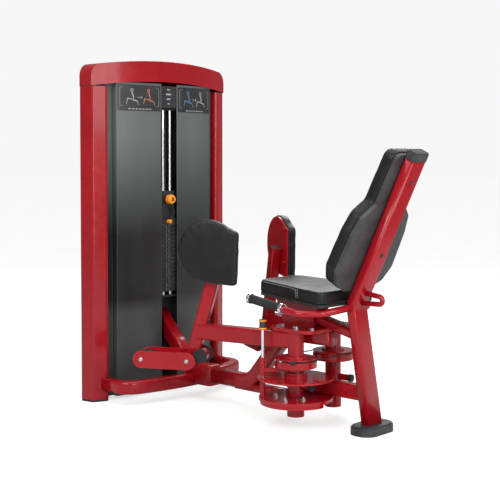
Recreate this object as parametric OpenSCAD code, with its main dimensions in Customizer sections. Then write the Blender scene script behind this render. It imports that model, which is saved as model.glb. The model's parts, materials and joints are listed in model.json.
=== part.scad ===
// Seated hip machine with a weight tower, two swinging thigh arms, a seat and a backrest.
// Frame: +X from the tower towards the seat, +Y across the machine, +Z up, floor at Z = 0.
// Modules measure X from the tower posts' front line; placed() then centres the footprint.

/* [Tower] */
// Height of the tower posts
post_h = 1358; // [1250:1:1450]
// Half width of the tower at the posts' outer faces
tower_half = 404; // [360:1:430]
// Width of one tower post, across the machine
post_w = 78; // [60:1:95]
// How far the tower front bulges at its middle
bow = 60; // [20:1:90]
// Height of the cap at its ends
cap_h = 90; // [70:1:120]
// Extra height of the cap at its middle
cap_rise = 29; // [10:1:45]
// Half width of the slot in front of the weights
slot_half = 48; // [35:1:60]
// Wall of the shroud sheets
sheet_t = 3; // [2:0.5:5]

/* [Weights] */
// Number of plates under the head plate
plate_count = 16; // [8:1:18]
// Height step of the plates
plate_pitch = 19; // [15:0.5:22]
// Height of the lowest plate's underside
stack_base = 446; // [300:1:500]
// Guide rod radius
rod_r = 7; // [5:0.5:10]

/* [Base] */
// Height of the base loop's underside
loop_z = 45; // [30:1:70]
// Height of the base loop tube
loop_h = 58; // [40:1:70]
// Width of the base loop tube
loop_w = 50; // [40:1:70]
// Width of the middle frame tubes
spine_w = 60; // [40:1:70]

/* [Pivots] */
// Distance of the pivots from the tower's front line
pivot_x = 895; // [850:1:950]
// Half distance between the two pivots
pivot_y = 118; // [100:1:130]
// Pivot shaft radius
shaft_r = 16; // [12:0.5:20]
// Arm sleeve radius
sleeve_r = 32; // [28:0.5:36]
// Selector disc radius
disc_r = 151; // [130:1:155]
// Cable cam radius
cam_r = 83; // [60:1:84]

/* [Arms] */
// Distance of the upright's foot point from the tower's front line
leg_x = 456; // [430:1:480]
// Half distance between the two uprights at beam height
leg_y = 213; // [200:1:240]
// Angle of the thigh pads to the machine's length
pad_angle = 28; // [15:0.5:35]
// Lean of the uprights
leg_lean = 15.4; // [0:0.1:20]
// Thigh pad thickness
pad_t = 38; // [30:1:60]

/* [Seat] */
// Seat thickness
seat_t = 56; // [44:1:60]
// Backrest thickness
back_t = 56; // [40:1:80]
// Lean of the backrest
back_lean = 25.5; // [15:0.5:35]

/* [Hidden] */
red = [0.72, 0.07, 0.1];
shroud_grey = [0.2, 0.21, 0.22];
placard_grey = [0.13, 0.13, 0.14];
shell_grey = [0.3, 0.31, 0.32];
black = [0.1, 0.1, 0.11];
iron = [0.06, 0.06, 0.07];
rubber = [0.05, 0.05, 0.05];
vinyl = [0.11, 0.11, 0.12];
chrome = [0.8, 0.8, 0.82];
steel = [0.72, 0.72, 0.74];
orange = [0.95, 0.55, 0.05];
plug_brown = [0.12, 0.08, 0.08];
$fn = 64;
fine_fn = 96;
big_fn = 240;
mid_x = 637;
gap = 0.3;
run = 0.05;
post_in = tower_half - post_w;
bow_r = (tower_half * tower_half + bow * bow) / (2 * bow);
bow_cx = bow - bow_r;
rear_bow = 50;
rear_x = -78;
rear_r = (tower_half * tower_half + rear_bow * rear_bow) / (2 * rear_bow);
rear_cx = rear_x - rear_bow + rear_r;
arch_r = (tower_half * tower_half + cap_rise * cap_rise) / (2 * cap_rise);
shroud_in = 8;
shroud_edge = 284;
shroud_z = 12;
shroud_top = 1378;
rod_x = 30;
rod_y = 21;
plate_x0 = -70;
plate_x1 = 40;
plate_half = 150;
stack_top = stack_base + plate_count * plate_pitch;
head_t = 25;
cap_round = 55;
block_top = 900;
pin_x = 28;
cable_r = 2.5;
top_z = 1300;
sheave_r = 52;
cable_x = 24;
sheave_x = cable_x - sheave_r;
low_z = 175;
rod_top = 1262;
riser_top = 430;
loop_corner = 90;
loop_front = 232;
loop_arc = 985;
loop_half = 368;
block_x0 = 225;
block_x1 = 340;
block_half = 38;
block_z0 = 60;
block_h = 88;
spine_zc = 106;
tube_h = 62;
rise_angle = 50;
low_bend_r = 131;
low_bend_x = 495;
high_bend_r = 100;
high_zc = 340;
low_end_x = low_bend_x + low_bend_r * sin(rise_angle);
low_end_z = spine_zc + low_bend_r * (1 - cos(rise_angle));
straight_rise = high_zc - high_bend_r * (1 - cos(rise_angle)) - low_end_z;
straight_len = straight_rise / sin(rise_angle);
high_start_x = low_end_x + straight_len * cos(rise_angle);
high_start_z = low_end_z + straight_rise;
high_end_x = high_start_x + high_bend_r * sin(rise_angle);
upper_end_x = 985;
lap = 5;
weld_step = 0.2;
top_plate_z = 371;
plate_t = 12;
low_plate_z = 104;
sleeve_z0 = low_plate_z + plate_t + 2;
sleeve_z1 = top_plate_z - 1;
beam_z = 337;
beam_h = 64;
beam_w = 54;
beam_angle = atan2(leg_y - pivot_y, pivot_x - leg_x);
beam_len = norm([leg_y - pivot_y, pivot_x - leg_x]);
disc_z = 186;
disc_t = 6;
cam_z = 232;
cam_h = 45;
cable_z = 262;
plunger_r = 130;
plunger_turn = 222.5;
leg_a = 54;
leg_b = 44;
leg_z0 = 196;
leg_z1 = 658;
bar_z = 222;
bar_r = 35;
bar_front = -228;
bar_rear = -32;
bar_y = -80;
bar_t = 8;
peg_x = 14;
peg_z = 240;
pad_cx = 50;
pad_cz = 673;
pad_r = 130;
vx = 1101.2;
vz = 483.2;
low_lean = 9.53;
post_a = 44;
post_b = 90;
post_up = 622;
post_down = 470;
foot_h = 34;
seat_x0 = 690;
seat_x1 = 1070;
seat_z = 500;
seat_tilt = 3;
board_t = 12;
grip_p = [738, 494.4];
grip_len = 168;
grip_fall = 8.6;
grip_reach = 250;
knuckle_r = 16.5;
handle_y = 205;
handle_r = 14;
tower_foot_h = 8;
post_wall = 4;
placard_z = 1256;
placard_h = 112;
cross_h = 8;
cheek_t = 6;
cheek_z = 130;
axle_r = 8;
axle_head_r = 10.5;
riser_z = 40;
riser_y = 110;
riser_w = 80;
riser_plate_t = 10;
web_z = 262;
increment_z = 863;
lanyard_z = 803;
pin_knob_r = 9.5;
column_x = 775;
column_h = 160;
plug_heights = [230, 538];
handle_knee = [1048, 140, 459];
handle_end = [1108, 40, 478];
plate_bolts = [[838, -172], [917, -208], [960, -150], [838, 140]];
stop_arm_z = 162;
stop_arm_len = 78;
stop_arm_turn = -6;
plunger_rod_r = 6;
plunger_knob_z = 379;
loop_x = 1208;
loop_zc = 511.7;
loop_r = 16;
loop_bar = 10;

// Moves the machine so that the origin is under the middle of its footprint
module placed() {
  translate([-mid_x, 0, 0])
    children();
}

// ---- shared outlines ----
// Rounded rectangle centred on the origin
module rsq(a, b, r) {
  square([a - 2 * r, b], center = true);
  square([a, b - 2 * r], center = true);
  for (i = [-1, 1])
    for (j = [-1, 1])
      translate([i * (a / 2 - r), j * (b / 2 - r)])
        circle(r = r);
}

// Plan of one tower post, on the -Y side
module post_plan(grow = 0) {
  offset(r = 16 + grow)
    polygon([[-12, -tower_half + 17], [5, -post_in - 16], [-64, -post_in - 16],
      [-62, -tower_half + 9]]);
}

// Plan of the whole tower, grown or shrunk by a step
module tower_plan(step = 0) {
  intersection() {
    translate([bow_cx, 0])
      circle(r = bow_r + step, $fn = big_fn);
    translate([rear_cx, 0])
      circle(r = rear_r + step, $fn = big_fn);
    square([600, 2 * (tower_half - 0.4 + step)], center = true);
  }
}

// Sheet that follows the bowed front, between two widths
module front_sheet(y0, y1, step, t) {
  intersection() {
    difference() {
      translate([bow_cx, 0])
        circle(r = bow_r - step, $fn = big_fn);
      translate([bow_cx, 0])
        circle(r = bow_r - step - t, $fn = big_fn);
    }
    translate([0, y0])
      square([200, y1 - y0]);
  }
}

function bow_at(y) = bow_cx + sqrt(bow_r * bow_r - y * y);

// ---- tower ----
module post_solid() {
  translate([0, 0, tower_foot_h])
    difference() {
      linear_extrude(post_h - tower_foot_h - gap)
        post_plan();
      translate([0, 0, -1])
        linear_extrude(post_h)
          post_plan(-post_wall);
    }
}

module tower_post_left() {
  color(red)
    post_solid();
}

module tower_post_right() {
  color(red)
    mirror([0, 1, 0])
      post_solid();
}

// Front view of the cap: arched top and bottom with rounded shoulders
module cap_view(step) {
  half = tower_half + 0.6;
  offset(r = cap_round - step)
    offset(r = -cap_round)
      difference() {
        intersection() {
          translate([0, post_h + cap_h + cap_rise - arch_r])
            circle(r = arch_r, $fn = big_fn);
          translate([-half, post_h - 60])
            square([2 * half, 300]);
        }
        translate([0, post_h - 100 - 400])
          square([4 * half, 10], center = true);
      }
}

module cap_body(step) {
  intersection() {
    linear_extrude(2000)
      tower_plan(1 - step);
    rotate([90, 0, 90])
      translate([0, 0, -400])
        linear_extrude(800)
          cap_view(step);
  }
}

module tower_cap() {
  color(red)
    difference() {
      cap_body(0);
      cap_body(post_wall);
      rotate([90, 0, 90])
        translate([0, post_h + cap_rise - arch_r, -400])
          cylinder(r = arch_r, h = 800, $fn = big_fn);
      translate([-400, -500, 0])
        cube([800, 1000, post_h]);
    }
}

module shroud_solid() {
  translate([0, 0, shroud_z])
    linear_extrude(shroud_top - shroud_z) {
      front_sheet(slot_half, shroud_edge, shroud_in, sheet_t);
      translate([-14, shroud_edge - sheet_t])
        square([bow_at(shroud_edge) - shroud_in + 13, sheet_t]);
      translate([-14, shroud_edge - sheet_t])
        square([sheet_t, post_in - shroud_edge + sheet_t - gap]);
    }
}

module shroud_front_left() {
  color(shroud_grey)
    mirror([0, 1, 0])
      shroud_solid();
}

module shroud_front_right() {
  color(shroud_grey)
    shroud_solid();
}

module shroud_rear() {
  color(shroud_grey)
    translate([0, 0, shroud_z])
      linear_extrude(shroud_top - shroud_z)
        intersection() {
          difference() {
            translate([rear_cx, 0])
              circle(r = rear_r - 6, $fn = big_fn);
            translate([rear_cx, 0])
              circle(r = rear_r - 6 - sheet_t, $fn = big_fn);
          }
          translate([-300, -post_in + gap])
            square([250, 2 * (post_in - gap)]);
        }
}

module placard_solid() {
  translate([0, 0, placard_z])
    linear_extrude(placard_h)
      front_sheet(slot_half + 6, shroud_edge - 4, shroud_in - 2.3, 2);
}

module placard_left() {
  color(placard_grey)
    mirror([0, 1, 0])
      placard_solid();
}

module placard_right() {
  color(placard_grey)
    placard_solid();
}

module slot_label() {
  color(black)
    translate([bow_at(0) - shroud_in - 8, -slot_half + 2, 1272])
      cube([4, 2 * slot_half - 4, 98]);
}

module upper_frame() {
  color(black) {
    difference() {
      union() {
        translate([-60, -post_in + gap, rod_top])
          cube([44, 2 * (post_in - gap), cross_h]);
        translate([-20, -shroud_edge + 5, rod_top])
          cube([25, 2 * (shroud_edge - 5), cross_h]);
        translate([0, -60, rod_top])
          cube([36, 120, cross_h]);
      }
      translate([sheave_x - 62, -16, rod_top - 1])
        cube([62 + sheave_r + 8, 32, 10]);
    }
    for (s = [-1, 1])
      difference() {
        translate([sheave_x - 22, s * 19 - cheek_t / 2, rod_top + cross_h])
          cube([44, cheek_t, 70]);
        translate([sheave_x, s * 19 - 4, top_z])
          rotate([-90, 0, 0])
            cylinder(r = axle_r + run, h = cheek_t + 2);
      }
  }
}

module stack_riser() {
  color(black) {
    for (s = [-1, 1])
      difference() {
        translate([plate_x0, s * riser_y - riser_w / 2, riser_z])
          cube([100, riser_w, riser_top - riser_z - riser_plate_t]);
        translate([plate_x0 + post_wall, s * riser_y - riser_w / 2 + post_wall, riser_z - 1])
          cube([100 - 2 * post_wall, riser_w - 2 * post_wall, riser_top]);
      }
    translate([plate_x0, -plate_half, riser_top - riser_plate_t])
      difference() {
        cube([plate_x1 - plate_x0, 2 * plate_half, riser_plate_t]);
        translate([-1, plate_half - 12, -1])
          cube([48, 24, riser_plate_t + 2]);
      }
    for (s = [-1, 1])
      difference() {
        translate([sheave_x - 20, s * 22 - cheek_t / 2, cheek_z])
          cube([40, cheek_t, riser_top - cheek_z - riser_plate_t]);
        translate([sheave_x, s * 22 - 4, low_z])
          rotate([-90, 0, 0])
            cylinder(r = axle_r + run, h = cheek_t + 2);
      }
    translate([-2, -riser_y + riser_w / 2, web_z])
      cube([6, 2 * riser_y - riser_w, riser_top - web_z - riser_plate_t]);
  }
}

module guide_rods() {
  color(chrome)
    for (s = [-1, 1])
      translate([rod_x, s * rod_y, riser_top])
        cylinder(r = rod_r, h = rod_top - riser_top);
}

module stack_bumpers() {
  color(rubber)
    for (s = [-1, 1])
      translate([-20, s * 90, riser_top])
        cylinder(r = 24, h = stack_base - riser_top);
}

module stack_plate(t) {
  difference() {
    translate([plate_x0, -plate_half, 0])
      cube([plate_x1 - plate_x0, 2 * plate_half, t]);
    for (s = [-1, 1])
      translate([rod_x, s * rod_y, -1])
        cylinder(r = rod_r + 1, h = t + 2);
    translate([cable_x, 0, -1])
      cylinder(r = cable_r + 2, h = t + 2);
    translate([8, 0, t / 2])
      rotate([0, 90, 0])
        cylinder(r = 5, h = 40);
  }
}

module weight_plates() {
  color(iron)
    for (i = [0 : plate_count - 1])
      translate([0, 0, stack_base + i * plate_pitch])
        stack_plate(plate_pitch - 0.5);
}

module head_block() {
  color(iron)
    translate([0, 0, stack_top]) {
      stack_plate(head_t);
      difference() {
        translate([-10, -38, head_t])
          cube([50, 76, block_top - stack_top - head_t]);
        for (s = [-1, 1])
          translate([rod_x, s * rod_y, head_t - 1])
            cylinder(r = rod_r + 1, h = block_top);
        translate([cable_x, 0, head_t - 1])
          cylinder(r = cable_r + 2, h = block_top);
      }
    }
}

module increment_knob() {
  color(orange)
    translate([plate_x1 + gap, 0, increment_z])
      rotate([0, 90, 0]) {
        cylinder(r = 7, h = 12);
        translate([0, 0, 8])
          cylinder(r = 21, h = 20);
        translate([0, 0, 28])
          cylinder(r1 = 21, r2 = 17, h = 6);
      }
}

module selector_pin() {
  color(orange)
    translate([pin_x, 0, stack_top + head_t / 2])
      rotate([0, 90, 0]) {
        cylinder(r = 4.5, h = 20);
        translate([0, 0, 16])
          cylinder(r = pin_knob_r, h = 16);
        translate([0, 0, 32])
          sphere(r = pin_knob_r);
      }
}

module lanyard() {
  color(rubber)
    translate([plate_x1 + 12, 0, lanyard_z])
      rotate([90, 0, 90])
        rotate([0, 0, -88])
          rotate_extrude(angle = 176, $fn = fine_fn)
            translate([24, 0])
              circle(r = 3, $fn = 24);
}

module sheave(x, z) {
  translate([x, 0, z])
    rotate([-90, 0, 0])
      rotate_extrude($fn = fine_fn)
        polygon([[axle_r + run, -9], [20, -9], [20, -7], [sheave_r + 5, -7],
          [sheave_r + 5, -5], [sheave_r - 3.2, -2.6], [sheave_r - 3.2, 2.6],
          [sheave_r + 5, 5], [sheave_r + 5, 7], [20, 7], [20, 9], [axle_r + run, 9]]);
}

module top_sheave() {
  color(black)
    sheave(sheave_x, top_z);
}

module low_sheave() {
  color(black)
    sheave(sheave_x, low_z);
}

module sheave_axles() {
  color(steel) {
    translate([sheave_x, -25, top_z])
      rotate([-90, 0, 0])
        cylinder(r = axle_r, h = 50);
    translate([sheave_x, -28, low_z])
      rotate([-90, 0, 0])
        cylinder(r = axle_r, h = 56);
  }
}

module cable_arc(x, z, from, sweep) {
  translate([x, 0, z])
    rotate([90, 0, 0])
      rotate([0, 0, from])
        rotate_extrude(angle = sweep, $fn = fine_fn)
          translate([sheave_r, 0])
            circle(r = cable_r, $fn = 24);
}

module lift_cable() {
  color(rubber) {
    translate([cable_x, 0, stack_top + 40])
      cylinder(r = cable_r, h = top_z - stack_top - 40, $fn = 24);
    cable_arc(sheave_x, top_z, 0, 180);
    translate([sheave_x - sheave_r, 0, low_z])
      cylinder(r = cable_r, h = top_z - low_z, $fn = 24);
    cable_arc(sheave_x, low_z, 180, 90);
    translate([sheave_x, 0, low_z - sheave_r])
      rotate([0, 90, 0])
        cylinder(r = cable_r, h = 130, $fn = 24);
  }
}

// ---- base and middle frame ----
module loop_plan(step) {
  offset(r = loop_corner - step)
    offset(r = -loop_corner)
      intersection() {
        translate([loop_front - loop_arc, 0])
          circle(r = loop_arc, $fn = big_fn);
        translate([-100, -loop_half])
          square([400, 2 * loop_half]);
      }
}

module base_loop() {
  translate([0, 0, loop_z])
    difference() {
      linear_extrude(loop_h)
        loop_plan(0);
      translate([0, 0, -1])
        linear_extrude(loop_h + 2)
          loop_plan(loop_w);
      translate([-200, -400, -1])
        cube([204, 800, loop_h + 2]);
      for (s = [0, 1])
        mirror([0, s, 0])
          translate([0, 0, -1])
            linear_extrude(loop_h + 2)
              post_plan(gap);
    }
}

// Tube in the middle plane bent by rotate_extrude about a centre
module mid_bend(cx, cz, r, from, sweep) {
  translate([cx, 0, cz])
    rotate([90, 0, 0])
      rotate([0, 0, from])
        rotate_extrude(angle = sweep, $fn = fine_fn)
          translate([r, 0])
            rsq(tube_h - 2 * weld_step, spine_w - 2 * weld_step, 10);
}

module mid_tube(x, z, turn, len, a = tube_h, b = spine_w) {
  translate([x, 0, z])
    rotate([0, turn, 0])
      linear_extrude(len)
        rsq(a, b, 10);
}

module base_frame() {
  color(red) {
    base_loop();
    translate([(block_x0 + block_x1) / 2, 0, block_z0])
      linear_extrude(block_h)
        rsq(block_x1 - block_x0, 2 * block_half, 12);
    mid_tube(block_x1 - 10, spine_zc, 90, low_bend_x - block_x1 + 10 + lap);
    mid_bend(low_bend_x, spine_zc + low_bend_r, low_bend_r, 270, rise_angle);
    mid_tube(low_end_x - lap * cos(rise_angle), low_end_z - lap * sin(rise_angle),
      90 - rise_angle, straight_len + 2 * lap);
    mid_bend(high_end_x, high_zc - high_bend_r, high_bend_r, 90, rise_angle);
    mid_tube(high_end_x - lap, high_zc, 90, upper_end_x - high_end_x + lap);
    mid_tube(low_bend_x - 20, 86.6, 90, 400, 34, 50);
    tower_brace();
  }
}

module tower_brace() {
  difference() {
    translate([0, 0, 327])
      rotate([0, 136.5, 0])
        translate([0, 0, -60])
          linear_extrude(390)
            rsq(65, spine_w, 10);
    translate([-200, -50, 0])
      cube([204.5, 100, 600]);
  }
}

module tower_feet() {
  color(rubber)
    for (s = [0, 1])
      mirror([0, s, 0])
        linear_extrude(tower_foot_h)
          post_plan(-1);
}

module low_plate_plan() {
  translate([pivot_x, -pivot_y])
    circle(r = 145, $fn = fine_fn);
  translate([pivot_x, pivot_y])
    circle(r = 72, $fn = fine_fn);
  translate([pivot_x - 70, -pivot_y])
    square([140, 2 * pivot_y]);
}

module low_plate() {
  color(red)
    difference() {
      union() {
        translate([0, 0, low_plate_z])
          linear_extrude(plate_t)
            low_plate_plan();
        for (s = [-1, 1])
          translate([pivot_x, s * pivot_y, 38])
            cylinder(r = 34, h = low_plate_z - 37);
        translate([pivot_x, -pivot_y, low_plate_z - 14])
          rotate_extrude(angle = -150, $fn = fine_fn)
            translate([126, 0])
              square([14, 18]);
      }
      for (s = [-1, 1])
        translate([pivot_x, s * pivot_y, 30])
          cylinder(r = shaft_r + run, h = 120);
      for (x = [pivot_x - 60, pivot_x + 70])
        translate([x, 0, low_plate_z - 1])
          cylinder(r = 6, h = plate_t + 2);
    }
}

module frame_bolts() {
  color(steel) {
    for (p = plate_bolts)
      translate([p[0], p[1], low_plate_z + plate_t]) {
        cylinder(r = 11, h = 7, $fn = 6);
        cylinder(r = 5, h = 13);
      }
    for (s = [-1, 1])
      translate([pivot_x, s * pivot_y, top_plate_z + plate_t])
        cylinder(r = 14, h = 9);
    for (x = [810, 960])
      for (s = [-1, 1])
        translate([x, s * 100, top_plate_z + plate_t])
          cylinder(r = 10, h = 6, $fn = 6);
  }
}

module pivot_shafts() {
  color(steel)
    for (s = [-1, 1])
      translate([pivot_x, s * pivot_y, 42])
        cylinder(r = shaft_r, h = top_plate_z + plate_t - 42);
}

module top_plate() {
  color(red)
    translate([0, 0, top_plate_z])
      difference() {
        linear_extrude(plate_t)
          translate([(775 + 990) / 2, 0])
            rsq(215, 310, 40);
        for (s = [-1, 1])
          translate([pivot_x, s * pivot_y, -1])
            cylinder(r = shaft_r + run, h = plate_t + 2);
      }
}

// ---- rear post, in its own leaning frames ----
module post_low_frame() {
  translate([vx, 0, vz])
    rotate([0, -low_lean, 0])
      children();
}

module back_frame() {
  translate([vx, 0, vz])
    rotate([0, back_lean, 0])
      children();
}

// Side view of the bent post, as [x, z] points, for a given depth along X
function post_side(a, top) = [
  post_point(-a / 2, -post_down, -low_lean), post_point(a / 2, -post_down, -low_lean),
  bend_point(a / 2), post_point(a / 2, top, back_lean), post_point(-a / 2, top, back_lean),
  bend_point(-a / 2)];

function post_point(d, s, lean) = [vx + d * cos(lean) + s * sin(lean),
  vz - d * sin(lean) + s * cos(lean)];

// Corner of the post where its two runs meet
function bend_point(d) = post_point(d / cos((back_lean + low_lean) / 2), 0,
  (back_lean - low_lean) / 2);

// Post body: a bent side view across the post's width
module post_run(a, b) {
  rotate([90, 0, 0])
    translate([0, 0, -b / 2])
      linear_extrude(b)
        polygon(post_side(a, post_up));
}

module below(z) {
  translate([900, -300, z - 300])
    cube([600, 600, 300]);
}

module rear_post() {
  color(red)
    difference() {
      post_run(post_a, post_b);
      below(foot_h);
    }
}

module rear_spine() {
  color(red)
    difference() {
      mid_tube(765, low_plate_z + plate_t + 30, 90, 420, 60, 50);
      post_run(post_a + 2 * gap, post_b + 2 * gap);
      translate([1140, -100, 0])
        cube([200, 200, 300]);
    }
}

module post_cap() {
  color(black)
    back_frame()
      translate([0, 0, post_up + run]) {
        linear_extrude(30)
          rsq(post_a + 3, post_b + 3, 12);
        translate([0, 0, 30])
          linear_extrude(5)
            rsq(post_a - 3, post_b - 3, 9);
      }
  color(plug_brown)
    back_frame()
      for (s = plug_heights)
        translate([post_a / 2 + run, 0, s])
          rotate([0, 90, 0]) {
            cylinder(r = 9, h = 3);
            cylinder(r = 6, h = 5);
          }
}

module rear_foot() {
  color(black)
    translate([1178, 0, 0]) {
      linear_extrude(foot_h - 6)
        rsq(112, 190, 50);
      translate([0, 0, foot_h - 6])
        linear_extrude(6)
          rsq(100, 178, 44);
    }
}

// Round bar from one point to another
module bar(p, q, r) {
  d = q - p;
  flat = norm([d[0], d[1]]);
  translate(p)
    rotate([0, atan2(flat, d[2]), atan2(d[1], d[0])])
      cylinder(r = r, h = norm(d), $fn = 40);
}

module rear_handle() {
  color(red)
    difference() {
      translate([loop_x, 0, loop_zc])
        rotate([90, 0, 0]) {
          rotate([0, 0, -88])
            rotate_extrude(angle = 171, $fn = fine_fn)
              translate([loop_r, 0])
                circle(r = loop_bar - weld_step, $fn = 40);
          rotate([0, 0, 83])
            translate([loop_r, 0, 0])
              rotate([-90, 0, 0])
                translate([0, 0, -1.5])
                  cylinder(r = loop_bar, h = 130, $fn = 40);
          rotate([0, 0, -88])
            translate([loop_r, 0, 0])
              rotate([90, 0, 0])
                translate([0, 0, -1.5])
                  cylinder(r = loop_bar, h = 130, $fn = 40);
        }
      post_run(post_a + 2 * gap, post_b);
      translate([1000, -60, 400])
        cube([110, 120, 200]);
    }
}

// ---- seat ----
module seat_frame() {
  translate([seat_x0, 0, seat_z])
    rotate([0, seat_tilt, 0])
      children();
}

module seat_plan(step) {
  len = seat_x1 - seat_x0;
  offset(r = 30 - step)
    offset(r = -30)
      polygon([[0, -118], [20, -124], [295, -172], [len, -180], [len, 180], [295, 172],
        [20, 124], [0, 118]]);
}

module seat_board() {
  color(rubber)
    seat_frame()
      linear_extrude(board_t)
        seat_plan(8);
}

module seat_pad() {
  color(vinyl)
    seat_frame()
      translate([0, 0, board_t + gap])
        linear_extrude(seat_t)
          seat_plan(0);
}

module seat_column() {
  color(red) {
    difference() {
      union() {
        translate([column_x, -42, top_plate_z + plate_t])
          cube([125, 84, column_h]);
        for (s = [-1, 1])
          translate([column_x, s * 45 - 4, top_plate_z + plate_t])
            rotate([90, 0, 0])
              translate([0, 0, -8])
                linear_extrude(8)
                  polygon([[0, 0], [150, 0], [150, column_h], [-70, column_h]]);
      }
      seat_frame()
        translate([-100, -200, -gap])
          cube([800, 400, 300]);
    }
    difference() {
      mid_tube(890, 418, 90 + 13.1, 240, 36, 60);
      post_run(post_a + 2 * gap, post_b + 2 * gap);
      translate([1110, -100, 0])
        cube([200, 200, 500]);
      translate([700, -100, 0])
        cube([292, 200, top_plate_z + plate_t + run]);
    }
  }
}

// ---- backrest ----
module back_outline(step) {
  offset(r = 30 - step)
    offset(r = -30)
      polygon([[48, -84], [80, -150], [143, -182], [300, -172], [374, -152], [425, -96],
        [628, -86], [636, -60], [636, 60], [628, 86], [425, 96], [374, 152], [300, 172],
        [143, 182], [80, 150], [48, 84]]);
}

module back_slab(x, t, step) {
  back_frame()
    translate([x, 0, 0])
      rotate([0, -90, 0])
        linear_extrude(t)
          back_outline(step);
}

module back_shell() {
  color(shell_grey)
    difference() {
      back_slab(-post_a / 2 - gap, 16, 6);
      post_run(post_a + 2 * gap, post_b + 2 * gap);
      back_frame()
        translate([-post_a / 2 - 2, -50, post_up - 1])
          cube([post_a, 100, 50]);
    }
}

module back_pad() {
  color(vinyl)
    back_slab(-post_a / 2 - 17, back_t, 0);
}

// ---- hand grips ----
module grip_frame() {
  translate([grip_p[0], 0, grip_p[1]])
    rotate([0, 90 + grip_fall, 0])
      children();
}

// One handle bar; side is -1 on the left and 1 on the right
module handle_bar(side) {
  bend = [grip_p[0] + grip_reach * cos(grip_fall), side * handle_y,
    grip_p[1] - grip_reach * sin(grip_fall)];
  knee = [handle_knee[0], side * handle_knee[1], handle_knee[2]];
  end = [handle_end[0], side * handle_end[1], handle_end[2]];
  difference() {
    union() {
      translate([0, side * handle_y, 0])
        grip_frame()
          translate([0, 0, -12])
            cylinder(r = handle_r, h = grip_reach + 12, $fn = 40);
      for (joint = [bend, knee])
        translate([0, 0, -knuckle_r])
          translate(joint)
            cylinder(r = knuckle_r, h = 2 * knuckle_r, $fn = 40);
      bar(bend, knee, handle_r);
      bar(knee, end, handle_r);
    }
    post_run(post_a + 40, post_b + 2 * gap);
  }
}

module handle_bars() {
  color(red)
    for (side = [-1, 1])
      handle_bar(side);
}

module grip_ring(z, h, ro) {
  for (s = [-1, 1])
    translate([0, s * handle_y, 0])
      grip_frame()
        translate([0, 0, z])
          difference() {
            cylinder(r = ro, h = h);
            translate([0, 0, -1])
              cylinder(r = handle_r + run, h = h + 2);
          }
}

module hand_grips() {
  color(rubber)
    grip_ring(2, grip_len - 16, 18);
}

module grip_collars() {
  color(chrome) {
    grip_ring(-12, 13.5, 20.5);
    grip_ring(grip_len - 13.5, 13.5, 20.5);
  }
}

// ---- pivot stack ----
module drive_disc() {
  color(red)
    translate([pivot_x, -pivot_y, disc_z])
      difference() {
        union() {
          cylinder(r = disc_r, h = disc_t, $fn = fine_fn);
          cylinder(r = 46, h = 26);
        }
        translate([0, 0, -1])
          cylinder(r = sleeve_r + run, h = 40);
        for (i = [-3 : 4])
          rotate([0, 0, plunger_turn + i * 12])
            translate([plunger_r, 0, -1])
              cylinder(r = 6.5, h = 20, $fn = 32);
      }
}

module cam(s) {
  color(red)
    translate([pivot_x, s * pivot_y, cam_z])
      rotate_extrude($fn = fine_fn)
        polygon([[sleeve_r + run, 0], [cam_r, 0], [cam_r, 26], [cam_r - 7, 27],
          [cam_r - 7, 33], [cam_r, 34], [cam_r, 38], [46, 38], [46, cam_h],
          [sleeve_r + run, cam_h]]);
}

module link_cable() {
  r = cam_r - 4;
  color(rubber)
    translate([pivot_x, 0, cable_z]) {
      for (s = [-1, 1])
        translate([s * r, -pivot_y, 0])
          rotate([-90, 0, 0])
            cylinder(r = cable_r, h = 2 * pivot_y, $fn = 24);
      for (s = [0, 1])
        mirror([0, s, 0])
          translate([0, pivot_y, 0])
            rotate_extrude(angle = 180, $fn = fine_fn)
              translate([r, 0])
                circle(r = cable_r, $fn = 24);
    }
}

// Frame of one upright: x along the pad towards the seat, y towards the middle of the machine
module leg_frame() {
  translate([leg_x, -leg_y, 0])
    rotate([0, 0, pad_angle])
      children();
}

module lean_frame() {
  leg_frame()
    translate([0, 0, beam_z])
      rotate([0, leg_lean, 0])
        children();
}

module leg_tube(a, b, r) {
  lean_frame()
    translate([0, 0, -220])
      linear_extrude(560)
        rsq(a, b, r);
}

module arm_solid() {
  difference() {
    union() {
      translate([pivot_x, -pivot_y, sleeve_z0])
        cylinder(r = sleeve_r, h = sleeve_z1 - sleeve_z0);
      translate([pivot_x, -pivot_y, beam_z])
        rotate([0, 0, 180 + beam_angle])
          rotate([0, 90, 0])
            linear_extrude(beam_len)
              rsq(beam_h, beam_w, 9);
      difference() {
        leg_tube(leg_a, leg_b, 10);
        translate([0, -700, 0])
          cube([900, 900, leg_z0]);
        translate([0, -700, leg_z1])
          cube([900, 900, 300]);
      }
      leg_frame()
        translate([peg_x, -38, peg_z])
          rotate([-90, 0, 0])
            cylinder(r = 27, h = 62);
      leg_frame()
        translate([peg_x, 24, peg_z])
          rotate([-90, 0, 0])
            cylinder(r = 9, h = 22);
      leg_frame()
        translate([bar_rear, bar_y + bar_t + gap, bar_z])
          rotate([-90, 0, 0])
            cylinder(r = 15, h = 60);
      translate([pivot_x, -pivot_y, stop_arm_z])
        rotate([0, 90, stop_arm_turn])
          cylinder(r = 13, h = stop_arm_len);
    }
    translate([pivot_x, -pivot_y, 100])
      cylinder(r = shaft_r + run, h = 300);
  }
}

// Lug and guide tube that hold the start plunger on the left arm
module plunger_lug() {
  difference() {
    translate([pivot_x, -pivot_y, 215])
      rotate([0, 0, plunger_turn]) {
        translate([sleeve_r - 4, -12, 0])
          cube([plunger_r - sleeve_r, 24, 12]);
        translate([plunger_r, 0, -18])
          cylinder(r = 11, h = 72);
      }
    translate([pivot_x, -pivot_y, 100])
      cylinder(r = shaft_r + run, h = 300);
    translate([pivot_x, -pivot_y, 180])
      rotate([0, 0, plunger_turn])
        translate([plunger_r, 0, 0])
          cylinder(r = plunger_rod_r + 0.1, h = 200);
  }
}

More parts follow.
